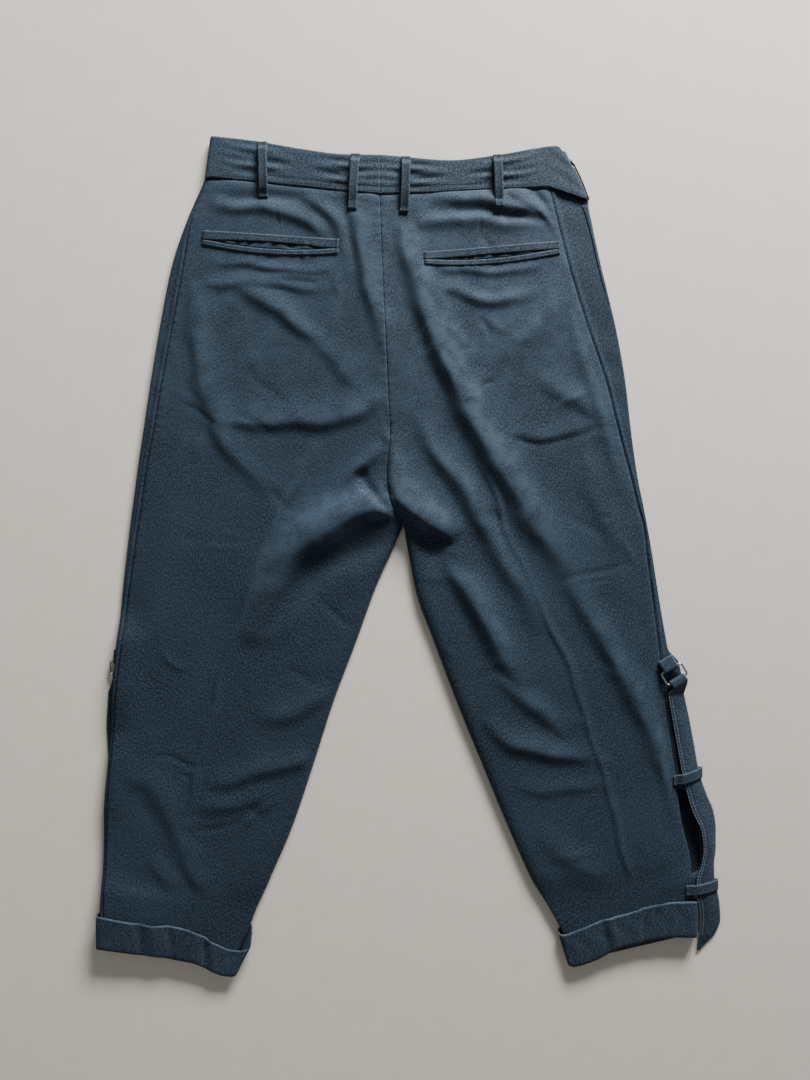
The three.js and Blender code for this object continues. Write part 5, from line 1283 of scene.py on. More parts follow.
def on_front(side, down, distance, raise_by):
    """A point of the front, measured round from the side seam's end of its strip."""
    leg = leg_at(side, down)
    inner_x, inner_y = front_inner(side, leg, down)
    reach = np.hypot(inner_x - leg["foldX"], inner_y - leg["foldY"])
    ux, uy = (inner_x - leg["foldX"]) / reach, (inner_y - leg["foldY"]) / reach
    radius = leg["loft"] / 2
    strip = np.hypot(leg["seamX"] - leg["foldX"], leg["seamY"] - leg["foldY"]) - radius
    lift = under_lift(side, leg["foldX"], leg["foldY"])
    turn = np.clip((distance - strip) / radius, 0, np.pi)
    past = np.maximum(distance - strip - np.pi * radius, 0)
    r = radius + raise_by
    away = radius - r * np.sin(turn) + np.maximum(strip - distance, 0) + past
    x, y = leg["foldX"] + ux * away, leg["foldY"] + uy * away
    z = lift + radius + r * np.cos(turn)
    under = front_lift(side, leg, x, y, down) - raise_by
    return np.stack(np.broadcast_arrays(x, y, np.where(past > 0, under, z)), axis=-1)


def pocket_edge(side):
    t = np.linspace(0, 1, 60)[:, None]
    v = np.linspace(0, 1, 8)[None, :]
    down = POCKET_EDGE["from"] + POCKET_EDGE["length"] * t
    distance = mix(POCKET_EDGE["top"], POCKET_EDGE["foot"], t) + POCKET_EDGE["wide"] * v
    points = on_front(side, down, distance, 0.1 + 0.5 * (1 - ease(t, 0.8, 1)))
    outward = "up" if side == "right" else "down"
    cloth(f"front_pocket_edge_{side}", points, trim_twill, 0.8, outward)
    return points


pocket_edges = {side: pocket_edge(side) for side in ("left", "right")}

# %% [markdown]
# ## Waistband
#
# The waistband is a doubled band, stiff along its edges and wavy between the belt loops,
# where it has been creased by a belt. It is one strip for each side: along the back, round
# the side fold and along the front to the fly. Its wear shows as low horizontal ripples.

# %% Stations round the waistband
TOP_EDGE = table(["x", "y"], [
    [-215.5, 453.0], [-202.5, 452.0], [-165.8, 447.7], [-118.3, 439.6], [-69.7, 433.6],
    [-31.9, 432.8], [-7.0, 430.9], [43.7, 427.1], [97.7, 433.1], [135.5, 439.8],
    [157.1, 442.3], [165.0, 439.5],
])
top_edge = smooth(TOP_EDGE["x"], TOP_EDGE["y"])
FRONT_BAND_TOP_Y = 405.5
BAND_FOLD = {
    "left": {"top": (-215.5, 452.9), "seam": (-221.4, 408.5)},
    "right": {"top": (169.0, 436.9), "seam": (193.2, 385.5)},
}
BAND_CLOTH, HOOK_THICK = 2.4, 0.8


def band_line(side):
    """Stations round one half of the waistband: seam point, top point, height, turn."""
    radius, sign, fold = BAND_TOP / 2, (-1 if side == "left" else 1), BAND_FOLD[side]
    leg = leg_at(side, 0.0)
    stations = []
    for share in np.linspace(1, 0, BACK_STATIONS):
        x = mix(leg["seamX"], leg["innerX"], share) - (sign * CENTRE_OVERLAP if share == 1 else 0)
        y = mix(leg["seamY"], leg["innerY"], share)
        from_fold = share * abs(leg["innerX"] - leg["seamX"])
        turn = 0.3 + 0.7 * float(ease(from_fold, 1, 18))
        top_x = x + (4.6 * (1 - float(ease(from_fold, 0, 14))) if side == "left" else 0)
        stations.append((x, y, top_x, float(top_edge(top_x)), BAND_TOP, turn))
    end_x, end_y = front_inner(side, leg, np.array(0.0))
    slope = (end_y - fold["seam"][1]) / abs(end_x - fold["seam"][0])
    begin = (fold["seam"][0] - sign * radius, fold["seam"][1] + slope * radius)
    if side == "right":
        for t in (0.25, 0.5, 0.75):
            x, y = mix(leg["seamX"], begin[0], t), mix(leg["seamY"], begin[1], t)
            top_x = mix(leg["seamX"], fold["top"][0] - sign * radius, t)
            stations.append((x, y, top_x, float(top_edge(top_x)), BAND_TOP, 0.3))
    for degrees in np.linspace(90, -75, 12):
        inset = radius * (1 - math.cos(math.radians(degrees)))
        lift = radius * math.sin(math.radians(degrees))
        stations.append((
            fold["seam"][0] - sign * inset, fold["seam"][1] + slope * inset,
            fold["top"][0] - sign * inset, fold["top"][1], radius + lift, 0.3))
    inside = BAND_CLOTH + GAP + HOOK_THICK + GAP
    for t in np.linspace(0, 1, 90):
        x, y = mix(begin[0], end_x, t), mix(begin[1], end_y, t)
        lapped = inside * (1 - float(ease(x, FLY["lap"] + 3, FLY["lap"] + 18)))
        z = float(loop_lift(x, FRONT_WAIST[1] + 20)) if side == "left" else lapped
        stations.append((
            x, y, mix(fold["top"][0] - sign * radius, end_x, t),
            mix(fold["top"][1], FRONT_BAND_TOP_Y, t), z, -0.25))
    return np.array(stations, float)


print("stations round each half", [len(band_line(side)) for side in ("left", "right")])

# %% Shells of the waistband
BAND_DEEP = 41


def waistband(side):
    line = band_line(side)
    v = np.linspace(0, 1, 36)[None, :]
    x = mix(line[:, 0:1], line[:, 2:3], v)
    y = mix(line[:, 1:2], line[:, 3:4], v)
    along = np.concatenate([[0], np.cumsum(np.hypot(*np.diff(line[:, :2], axis=0).T))])[:, None]
    shape = np.sin(np.pi * v) ** 0.6
    ripple = 0.85 * np.sin(v * 17 + 2.2 * np.sin(along / 31) + along / 40) * np.sin(along / 27) ** 2
    fine = np.sin(v * 29 - along / 33 + 2 * np.sin(along / 19))
    ripple = ripple + 0.35 * fine * np.sin(along / 37 + 1) ** 2
    ripple = ripple + 0.3 * np.sin(along / 13 + 4 * v) * np.sin(along / 53 + 1) ** 2
    for share, deep in ((0.17, 0.5), (0.05, 0.25)):
        ripple = ripple - deep * np.exp(-(((v - share) / 0.022) ** 2))
    roll = 0.5 * np.exp(-((v * BAND_DEEP / 2.2) ** 2)) + 0.7 * np.exp(-(((1 - v) * BAND_DEEP / 2.6) ** 2))
    height, turn = line[:, 4:5], line[:, 5:6]
    z = height + turn * np.where(turn > 0, ripple * shape - roll, -np.abs(ripple) * shape)
    points = np.stack([x, y, np.maximum(z, 0)], axis=2)
    cloth(f"waistband_{side}", points, band_twill, 1.7, "round")
    return points, along


bands = {side: waistband(side) for side in ("left", "right")}

# %% [markdown]
# ## Belt loops
#
# Six loops carry the belt. The four on the back stand off the band, so a belt passes under
# them; the two on the front are pressed by the weight of the trousers. A loop is a narrow
# strip with its edges turned in, so its middle is a little hollow, and its lower end is
# tucked under and bar-tacked.

# %% Belt loops
LOOP_WIDTH, LOOP_CLEAR, PRESSED_RISE = 10.2, 3.6, 1.3
BACK_LOOPS = {
    "belt_loop_back_left": (-158.2, 446.0, -157.1, 386.5, 0.3),
    "belt_loop_centre_left": (-57.8, 433.2, -61.6, 373.5, -0.4),
    "belt_loop_centre_right": (-3.8, 430.2, -5.9, 370.5, 0.5),
    "belt_loop_back_right": (94.5, 432.2, 96.7, 375.5, -0.2),
}
LOOP_RISE = smooth([0, 0.05, 0.16, 0.38, 0.6, 0.8, 0.95, 1], [0, 0, 0.95, 1.05, 0.95, 0.5, 0, 0])


def loop_section(v):
    """Height across a loop's width: turned edges stand, the middle is a little hollow."""
    return 0.28 * np.exp(-(((np.abs(v) - 0.36) / 0.1) ** 2)) - 0.35 * (np.abs(v) > 0.47)


def back_loop(name, top_x, top_y, foot_x, foot_y, lean):
    length = math.hypot(foot_x - top_x, foot_y - top_y)
    across_x, across_y = (top_y - foot_y) / length, (foot_x - top_x) / length
    t = np.linspace(0, 1, 46)[:, None]
    v = np.linspace(-0.5, 0.5, 11)[None, :]
    side = "left" if foot_x < LEG_ROWS["left"]["innerX"][0] else "right"
    foot_z = float(on_back(side, foot_x, foot_y)) + GAP
    rise = LOOP_RISE(t)
    start = BAND_TOP + GAP
    base = np.where(t > 0.8, mix(start, foot_z, ease(t, 0.84, 0.93)), start)
    z = base + rise * LOOP_CLEAR + LOOP_CLOTH + loop_section(v) + lean * v * rise
    narrow = LOOP_WIDTH * (1 - 0.05 * np.sin(np.pi * t))
    x = mix(top_x, foot_x, t) + across_x * v * narrow + lean * np.sin(np.pi * t)
    y = mix(top_y, foot_y, t) + across_y * v * narrow
    points = np.stack(np.broadcast_arrays(x, y, z), axis=2)
    cloth(name, points, trim_twill, 1.2)
    return points


loops = {name: back_loop(name, *row) for name, row in BACK_LOOPS.items()}


def front_loops():
    fold = BAND_FOLD["left"]
    t = np.linspace(0, 1, 40)[:, None]
    v = np.linspace(-0.5, 0.5, 9)[None, :]
    share = (FRONT_LOOP_LEFT_X - fold["seam"][0]) / (FRONT_WAIST[0] - fold["seam"][0])
    top = mix(fold["top"][1], FRONT_BAND_TOP_Y, share) - 2
    x = FRONT_LOOP_LEFT_X + v * LOOP_WIDTH + 0 * t
    z = GAP / 2 + 0.1 - 0.2 * loop_section(v) + 0 * t
    left = np.stack([x, top - t * 56 + 0 * v, z], axis=2)
    cloth("belt_loop_front_left", left, trim_twill, 1.0, "down")
    fold = BAND_FOLD["right"]
    start, end = np.array(fold["top"]), np.array(fold["seam"])
    along = (end - start) / np.linalg.norm(end - start)
    out = np.array([-along[1], along[0]])
    away = GAP + LOOP_RISE(t) * PRESSED_RISE + LOOP_CLOTH + 0.3
    flat = start + along * (10 + 46 * t) + out * away
    z = BAND_TOP / 2 + 8 * v
    right = np.stack(np.broadcast_arrays(flat[:, 0:1], flat[:, 1:2], z), axis=2)
    right[:, :, :2] -= (2.6 * v + 0.3 * (np.abs(v) > 0.4))[:, :, None] * out
    cloth("belt_loop_front_right", right, trim_twill, 1.2, "right")


front_loops()

# %% [markdown]
# ## Turn-up cuffs
#
# A turn-up is a tube of cloth folded outside the hem. Its control points run once round the
# hem, over the back, round the inseam fold, along the floor and round the outer fold, and a
# closed curve through them keeps the folds soft. The turned edge stands a little off the
# leg and catches the light, and a few soft creases cross the band. Its cloth is a shade
# paler than the leg's.

# %% Tables of the cuffs
# A row gives a point of the turned edge and of the foot below it: topX, topY, footX, footY.
CUFF_COUNT, CUFF_CREASE_GAIN = 190, 1.9
CUFFS = {
    "left": {
        "back": [
            [-330.5, -385.8, -331.5, -421.8], [-306.0, -391.2, -306.0, -425.6],
            [-278.0, -395.6, -278.0, -429.6], [-250.0, -398.0, -250.0, -433.0],
            [-229.0, -405.4, -229.0, -439.4], [-209.0, -416.5, -213.5, -447.0],
            [-194.0, -424.0, -203.0, -451.6], [-181.0, -425.0, -194.0, -453.0],
        ],
        "inner": [-170.1, -405.5, -185.6, -446.0],
        "outer": [-336.9, -385.0, -337.7, -421.7],
        "front": [
            [-178.0, -397.0, -192.0, -436.0], [-215.0, -391.5, -218.0, -432.0],
            [-250.0, -388.0, -251.0, -428.0], [-279.0, -386.0, -280.0, -424.0],
            [-302.0, -385.5, -302.0, -422.5], [-328.5, -384.5, -330.0, -421.0],
        ],
        "creases": [
            (0.122, 2.6, -0.8), (0.165, 3.6, 0.9), (0.212, 2.4, -0.8), (0.325, 2.2, -0.8),
            (0.352, 2.6, 0.7), (0.41, 3.0, -0.6),
        ],
    },
    "right": {
        "back": [
            [304.5, -371.0, 304.5, -409.9], [279.2, -372.1, 279.2, -409.9],
            [259.7, -376.1, 260.8, -412.8], [236.0, -383.9, 245.7, -417.0],
            [211.1, -390.4, 223.7, -422.8], [187.4, -400.1, 201.4, -434.7],
            [168.0, -407.5, 179.0, -442.3],
        ],
        "inner": [160.6, -407.7, 171.0, -440.1],
        "outer": [311.0, -371.0, 311.0, -409.9],
        "front": [
            [167.5, -402.0, 177.0, -436.0], [215.0, -385.0, 222.0, -420.0],
            [262.0, -375.0, 265.0, -411.0], [304.0, -371.0, 304.0, -409.5],
        ],
        "creases": [(0.11, 2.5, 0.6), (0.17, 2.0, -0.6), (0.28, 3.0, 0.9), (0.31, 2.0, -0.4)],
    },
}
print("cuffs", list(CUFFS))

# %% Shells of the cuffs
def hem_top(side, x, y):
    down, share = leg_length[side], 0.0
    for _ in range(4):
        leg = leg_at(side, down)
        share = float(np.clip((x - leg["seamX"]) / (leg["innerX"] - leg["seamX"]), 0, 1))
        level = mix(leg["seamY"], leg["innerY"], share)
        down = float(np.clip(down + level - y, leg_length[side] - 50, leg_length[side]))
    leg = leg_at(side, down)
    lift = under_lift(side, leg["foldX"], leg["foldY"]) + HEM_LIFT + leg["loft"] + GAP + WALL
    return float(mix(lift, HEM_LIFT + WALL + GAP + WALL, share)) + GAP + CUFF_CLOTH


def cuff_ring(side, v):
    """Control points once round the cuff at v, from its foot (0) to its turned edge (1)."""
    rows = CUFFS[side]
    at = lambda row: (mix(row[2], row[0], v), mix(row[3], row[1], v))
    floor = lambda x, y: float(strap_lift(x, y)) if side == "left" else 0.0
    back = [(x, y, hem_top(side, x, y)) for x, y in map(at, rows["back"])]
    front = [(x, y, floor(x, y)) for x, y in map(at, rows["front"])]

    def turn(fold, start, end):
        x, y = at(fold)
        low, high = floor(x, y), hem_top(side, x, y)
        radius = (high - low) / 2
        inward = np.sign(start[0] - x)
        points = []
        for degrees in (60, 20, -20, -60):
            angle = math.radians(degrees)
            share = (1 - math.sin(angle)) / 2
            level = mix(start[1], y, share * 2) if share < 0.5 else mix(y, end[1], share * 2 - 1)
            high_at = low + radius + radius * math.sin(angle)
            points.append((x + inward * radius * (1 - math.cos(angle)), level, high_at))
        return points

    outer = turn(rows["outer"], back[0], front[-1])[::-1]
    return back + turn(rows["inner"], back[-1], front[0]) + front + outer


def cuff(side):
    levels = np.linspace(0, 1, 5)
    control = np.array([cuff_ring(side, v) for v in levels]).transpose(1, 0, 2)
    points = across(rounded(control, CUFF_COUNT, closed=True), 17)
    share = np.linspace(0, 1, CUFF_COUNT, endpoint=False)[:, None]
    v = np.linspace(0, 1, 17)[None, :]
    upper = ease(points[:, :, 2], 3.5, 6.0)
    leaning = share + 0.015 * (v - 0.5)
    crease = sum(
        high * np.exp(-(((leaning - at) * CUFF_COUNT / width) ** 2))
        for at, width, high in CUFFS[side]["creases"])
    lip = 0.25 * np.exp(-((1 - v) / 0.05) ** 2) - 0.5 * np.exp(-(v / 0.06) ** 2)
    sway = 0.25 * np.sin(share * 90 + 2 * np.sin(v * 4)) * np.sin(np.pi * v)
    points[:, :, 2] += upper * (CUFF_CREASE_GAIN * crease * (0.4 + 0.6 * v) + lip + sway)
    points[:, :, 2] = np.maximum(points[:, :, 2], 0)
    cloth(f"cuff_{side}", points, trim_twill, 1.3, "round", closed=True)


for side in ("left", "right"):
    cuff(side)

# %% [markdown]
# ## Straps, rings, tabs and keepers
#
# A strap hangs down the outside of each leg. A short tab holds the ring to the leg, the
# strap's head rolls round the ring's other bar, and two keepers hold the strap to the leg.
# On the right it twists as it falls, so its face and its heights change from row to row. On
# the left it lies flat under the edge of the leg. The doubled edge shows as a groove
# between two rows of long, pale stitches.

# %% Rings
def ring_frame(side):
    along = np.array([*RING_AT[side]["along"], 0.0])
    along /= np.linalg.norm(along)
    down = np.array([along[1], -along[0], 0]) if side == "right" else np.array([-along[1], along[0], 0])
    return np.array(RING_AT[side]["at"]), along, down


def wire_ring(side):
    centre, along, down = ring_frame(side)
    long, short, corner, wire = (RING[key] for key in ("long", "short", "corner", "wire"))
    outline = []
    for sx, sy, first in ((1, 1, 0), (-1, 1, 90), (-1, -1, 180), (1, -1, 270)):
        for degrees in np.linspace(first, first + 90, 9):
            angle = math.radians(degrees)
            outline.append((
                sx * (long - corner) + corner * math.cos(angle),
                sy * (short - corner) + corner * math.sin(angle)))
    flat = np.array(outline)
    path = centre + flat[:, 0:1] * along + flat[:, 1:2] * down
    ahead = np.roll(path, -1, axis=0) - np.roll(path, 1, axis=0)
    ahead /= np.linalg.norm(ahead, axis=1, keepdims=True)
    side_way = np.cross(ahead, [0, 0, 1])
    turns = np.radians(np.arange(0, 360, 22.5))
    cos, sin = np.cos(turns)[None, :, None], np.sin(turns)[None, :, None]
    tube = path[:, None] + wire * (cos * side_way[:, None] + sin * np.array([0, 0, 1]))
    rows, cols = tube.shape[:2]
    faces = [
        (i * cols + k, ((i + 1) % rows) * cols + k,
         ((i + 1) % rows) * cols + (k + 1) % cols, i * cols + (k + 1) % cols)
        for i in range(rows) for k in range(cols)]
    points = tube.reshape(-1, 3)
    normal = vertex_normals(points, np.array(faces))
    outward = (normal * (tube - path[:, None]).reshape(-1, 3)).sum() > 0
    mesh = bpy.data.meshes.new(f"strap_ring_{side}")
    mesh.from_pydata((points * MM).tolist(), [], faces if outward else [f[::-1] for f in faces])
    mesh.polygons.foreach_set("use_smooth", [True] * len(faces))
    mesh.materials.append(ring_steel)
    piece = bpy.data.objects.new(f"wire_ring_{side}", mesh)
    bpy.context.scene.collection.objects.link(piece)
    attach(piece, "root")
    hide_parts(f"strap_ring_{side}")
    print(piece.name, len(faces), "faces")


for side in ("left", "right"):
    wire_ring(side)

# %% Straps and tabs
HEAD_WIDTH, TAB_WIDTH, TAB_LENGTH = 17.5, 16.5, 12.0
RIGHT_STRAP = table(["y", "innerX", "outerX", "innerZ", "outerZ", "crown"], [
    [-148, 278.0, 296.0, 10.6, 7.0, 1.0],
    [-171, 282.0, 301.6, 9.8, 5.2, 1.5],
    [-203, 287.8, 307.9, 9.6, 4.4, 1.6],
    [-232, 293.2, 313.2, 9.6, 4.2, 1.6],
    [-257, 299.2, 321.6, 9.2, 3.6, 1.6],
    [-276, 305.1, 329.4, 9.4, 3.0, 1.5],
    [-295, 314.0, 332.1, 10.2, 2.6, 1.6],
    [-315, 316.2, 332.1, 10.2, 2.6, 1.6],
    [-333, 313.9, 330.2, 10.0, 2.8, 1.5],
    [-348, 309.0, 330.2, 9.8, 3.4, 1.2],
    [-363, 308.4, 333.6, 9.8, 3.4, 1.0],
    [-376, 311.6, 336.2, 8.6, 2.4, 1.0],
    [-393, 313.7, 337.4, 6.0, 1.8, 0.8],
    [-409, 313.6, 331.6, 4.2, 1.8, 0.6],
    [-418, 312.9, 322.9, 3.2, 1.8, 0.3],
    [-427, 312.0, 314.6, 2.4, 1.8, 0],
])


def wrap_rows(side, toward, width, thickness, free, free_top, free_bottom, cols):
    """Cloth rolled round one bar of the ring: outer face, from its top end to its under end."""
    centre, along, down = ring_frame(side)
    bar = centre + down * toward * RING["short"]
    radius = RING["wire"] + GAP + thickness
    path = [(free, free_top)]
    for degrees in (90, 45, 0, -45, -90):
        angle = math.radians(degrees)
        path.append((-radius * math.cos(angle), bar[2] + radius * math.sin(angle)))
    path.append((free, free_bottom))
    rows = []
    for away, z in path:
        points = bar + down * toward * away + along * width * np.linspace(-0.5, 0.5, cols)[:, None]
        points[:, 2] = z
        rows.append(points)
    return np.array(rows)


def strap_tab(side):
    low = RING_AT[side]["at"][2] - RING["wire"] - GAP - TRIM_CLOTH
    high = low + 2 * TRIM_CLOTH + GAP
    rows = wrap_rows(side, -1, TAB_WIDTH, TRIM_CLOTH, TAB_LENGTH, high, low, 9)
    points = rounded(rows, 40)
    cloth(f"strap_tab_{side}", points, trim_twill, 1.0, "round")


def strap_rows(side, cols):
    v = np.linspace(0, 1, cols)
    if side == "right":
        down = -RIGHT_STRAP["y"]
        value = {name: smooth(down, RIGHT_STRAP[name]) for name in RIGHT_STRAP if name != "y"}
        at = np.concatenate([np.linspace(148, 409, 70), np.linspace(412, 427, 8)])
        rows = [np.stack([
            mix(value["innerX"](d), value["outerX"](d), v), np.full(cols, -d),
            mix(value["innerZ"](d), value["outerZ"](d), v) + value["crown"](d) * 4 * v * (1 - v)], axis=1)
            for d in at]
    else:
        at = np.concatenate([np.linspace(148, 396, 70), np.linspace(399, 412, 7)])
        rows = [np.stack([
            left_strap_outer(d) + left_strap_width(d) * (1 - v), np.full(cols, -d),
            np.full(cols, left_strap_top(-d))], axis=1) for d in at]
    return np.array(rows)


def strap(side):
    cols = 15
    z = RING_AT[side]["at"][2]
    radius = RING["wire"] + GAP + STRAP_CLOTH
    head = wrap_rows(side, 1, HEAD_WIDTH, STRAP_CLOTH, 5, z + radius, z - radius, cols)[::-1]
    body = strap_rows(side, cols)
    head = head if np.dot(head[-1, -1] - head[-1, 0], body[0, -1] - body[0, 0]) > 0 else head[:, ::-1]
    points = np.concatenate([rounded(np.concatenate([head, body[:1]]), 30)[:-1], body])
    v = np.linspace(0, 1, cols)[None, :]
    y = points[:, :, 1]
    groove = -0.35 * np.exp(-(((v - 0.2) / 0.045) ** 2)) - 0.2 * np.exp(-(((v - 0.86) / 0.04) ** 2))
    wave = 0.3 * np.sin(y / 6.5 + 2 * np.sin(y / 23)) * np.sin(np.pi * v)
    soft = ease(-y, 146, 160)
    points[:, :, 2] += (groove + (wave if side == "right" else 0.3 * wave)) * soft
    cloth(f"strap_{side}", points, trim_twill, 1.2, "up")
    return points


for side in ("left", "right"):
    strap_tab(side)
straps = {side: strap(side) for side in ("left", "right")}

# %% Keepers
KEEPER_WIDTH = 11.0
KEEPERS_RIGHT = {
    "keeper_upper_right": (284.5, -241.8, 315.0, -233.2),
    "keeper_lower_right": (297.4, -359.4, 334.0, -354.8),
}


def right_strap_at(y, v):
    down = -RIGHT_STRAP["y"]
    at = {name: float(smooth(down, RIGHT_STRAP[name])(-y)) for name in RIGHT_STRAP if name != "y"}
    return (mix(at["innerX"], at["outerX"], v),
            mix(at["innerZ"], at["outerZ"], v) + at["crown"] * 4 * v * (1 - v))


def keeper_right(name, start_x, start_y, end_x, end_y):
    middle = (start_y + end_y) / 2
    over = GAP + 0.8
    start_z = float(on_back("right", start_x + 1, start_y)) + GAP + 0.4
    outer_x, outer_z = right_strap_at(middle, 1.0)
    under = outer_z - STRAP_CLOTH - GAP - 0.15
    inner_x, inner_z = right_strap_at(middle, 0.0)
    path = [(start_x, start_z), (start_x + 4, start_z), (inner_x - 1.5, inner_z + over - 0.4)]
    for v in (0.05, 0.25, 0.5, 0.75):
        x, z = right_strap_at(middle, v)
        path.append((x, z + over))
    path += [
        (outer_x + 0.2, outer_z + over), (outer_x + over + 0.4, outer_z - STRAP_CLOTH / 2),
        (outer_x + 0.2, under), (outer_x - 7, under + 0.3)]
    slant = (end_y - start_y) / (end_x - start_x)
    v = np.linspace(-0.5, 0.5, 9)
    control = np.array([[
        (x, start_y + (x - start_x) * slant + share * KEEPER_WIDTH, z + 0.2 * (abs(share) < 0.45))
        for share in v] for x, z in path])
    points = rounded(control, 64)
    quads, _ = grid_faces(points)
    normal = vertex_normals(points.reshape(-1, 3), quads).reshape(points.shape)
    normal *= np.sign(normal[20, :, 2].mean())
    cloth(name, points + normal * KEEPER_CLOTH, trim_twill, 0.9, "round")
    return points + normal * KEEPER_CLOTH


def keeper_left(name, y):
    outer = float(left_strap_outer(-y))
    low, high = 0.12, float(left_strap_top(y)) + GAP + KEEPER_CLOTH
    left, right = outer - GAP - 1.2, outer + STRAP_WIDTH + GAP + 1.2
    path = [(left, low + 1.2), (left, high - 1.2), (left + 1.2, high), (right - 1.2, high),
            (right, high - 1.2), (right, low + 1.2), (right - 1.2, low), (left + 1.2, low)]
    v = np.linspace(-0.5, 0.5, 9)
    control = np.array([[(x, y + share * KEEPER_WIDTH, z) for share in v] for x, z in path])
    middle = lambda a, b: (a + b) / 2
    control = np.insert(control, 3, middle(control[2], control[3]), axis=0)
    control = np.insert(control, len(control) - 1, middle(control[-2], control[-1]), axis=0)
    points = rounded(control, 80, closed=True)
    points[:, :, 2] = np.clip(points[:, :, 2], low, high)
    cloth(name, points, trim_twill, 0.8, "round", closed=True)


keepers = {name: keeper_right(name, *row) for name, row in KEEPERS_RIGHT.items()}
for name, y in LEFT_KEEPER_Y.items():
    keeper_left(name, y)

# %% [markdown]
# ## Fly closing
#
# The fly is under the trousers and between the two fronts. A strip of zip tape lies between
# the layers, and the hook plate between the ends of the waistband keeps its solid, which
# gets the dull steel finish.

# %% Zip tape and hook
def fly_tape():
    y = np.linspace(FLY["top"] + 2, FRONT_WAIST[1] - 8, 40)[:, None]
    centre = mix(FRONT_WAIST[0], CROTCH_X, (FRONT_WAIST[1] - y) / (FRONT_WAIST[1] - CROTCH_Y))
    v = np.linspace(-0.5, 0.5, 9)[None, :]
    z = WALL + GAP + ZIP_THICK - 0.3 * (np.abs(v) > 0.15)
    points = np.stack(np.broadcast_arrays(centre + 3 + 22 * v, y, z), axis=2)
    cloth("fly_zip", points, zip_tape, 0.4)


fly_tape()
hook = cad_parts["waist_hook"]
hook.data.materials.clear()
hook.data.materials.append(ring_steel)

# %% [markdown]
# ## Stitches
#
# Sewing is a short stitch repeated along a seam, which is what Geometry Nodes are for. The
# seams are drawn as lines of edges that lie on the finished cloth. The tree resamples each
# line at the stitch length, turns a small rounded stitch along it, varies the stitches a
# little with a fixed seed, and makes them real. One tree serves the topstitching, the
# fine rows on the welts and loops, the long pale stitches down the strap and the dark bar
# tacks, with other sizes.

# %% Seam lines
def on_top(points, lift=0.12):
    return np.asarray(points, float) + [0, 0, lift]


def between(grid, share):
    """The line at a share of the way across a grid's columns."""
    at = share * (grid.shape[1] - 1)
    k = min(int(at), grid.shape[1] - 2)
    return mix(grid[:, k], grid[:, k + 1], at - k)


topstitching, fine_rows, bar_tacks = [], [], []
for side in ("left", "right"):
    band, along = bands[side]
    back_part = band[:96]
    for share in (0.045, 0.17, 0.95):
        topstitching.append(on_top(between(back_part, share), 0.1))
    upper, lower = welts[side]
    for share in (0.18, 0.52, 0.88):
        fine_rows.append(on_top(between(upper, share)[1:-1], 0.1))
    fine_rows.append(on_top(between(lower, 0.75)[1:-1], 0.1))
    for end in (1, -2):
        bar_tacks.append(on_top(np.concatenate([lower[end][::-1], upper[end]]), 0.2))
    topstitching.append(on_top(between(pocket_edges[side], 0.4), 0.1 if side == "right" else -0.3))
piping = [on_top(between(straps["right"], share)[30:-8], 0.12) for share in (0.02, 0.17)]
fine_rows.append(on_top(between(straps["right"], 0.93)[30:-8], 0.08))
for grid in loops.values():
    for share in (0.14, 0.86):
        fine_rows.append(on_top(between(grid, share)[2:-2], 0.1))
    bar_tacks.append(on_top(grid[-2][2:-2], 0.1))
for grid in keepers.values():
    for share in (0.14, 0.86):
        fine_rows.append(on_top(between(grid, share)[2:40], 0.08))
for x, y, foot_x, foot_y, side in ((-143.1, 386, -136.6, 347, "left"), (80.5, 372, 77.2, 336, "right")):
    t = np.linspace(0, 1, 12)
    line_x, line_y = mix(x, foot_x, t) + 1.6, mix(y, foot_y, t)
    fine_rows.append(np.stack([line_x, line_y, on_back(side, line_x, line_y) + 0.1], axis=1))
print(len(topstitching), "topstitched,", len(fine_rows), "fine and", len(bar_tacks), "tacked rows")

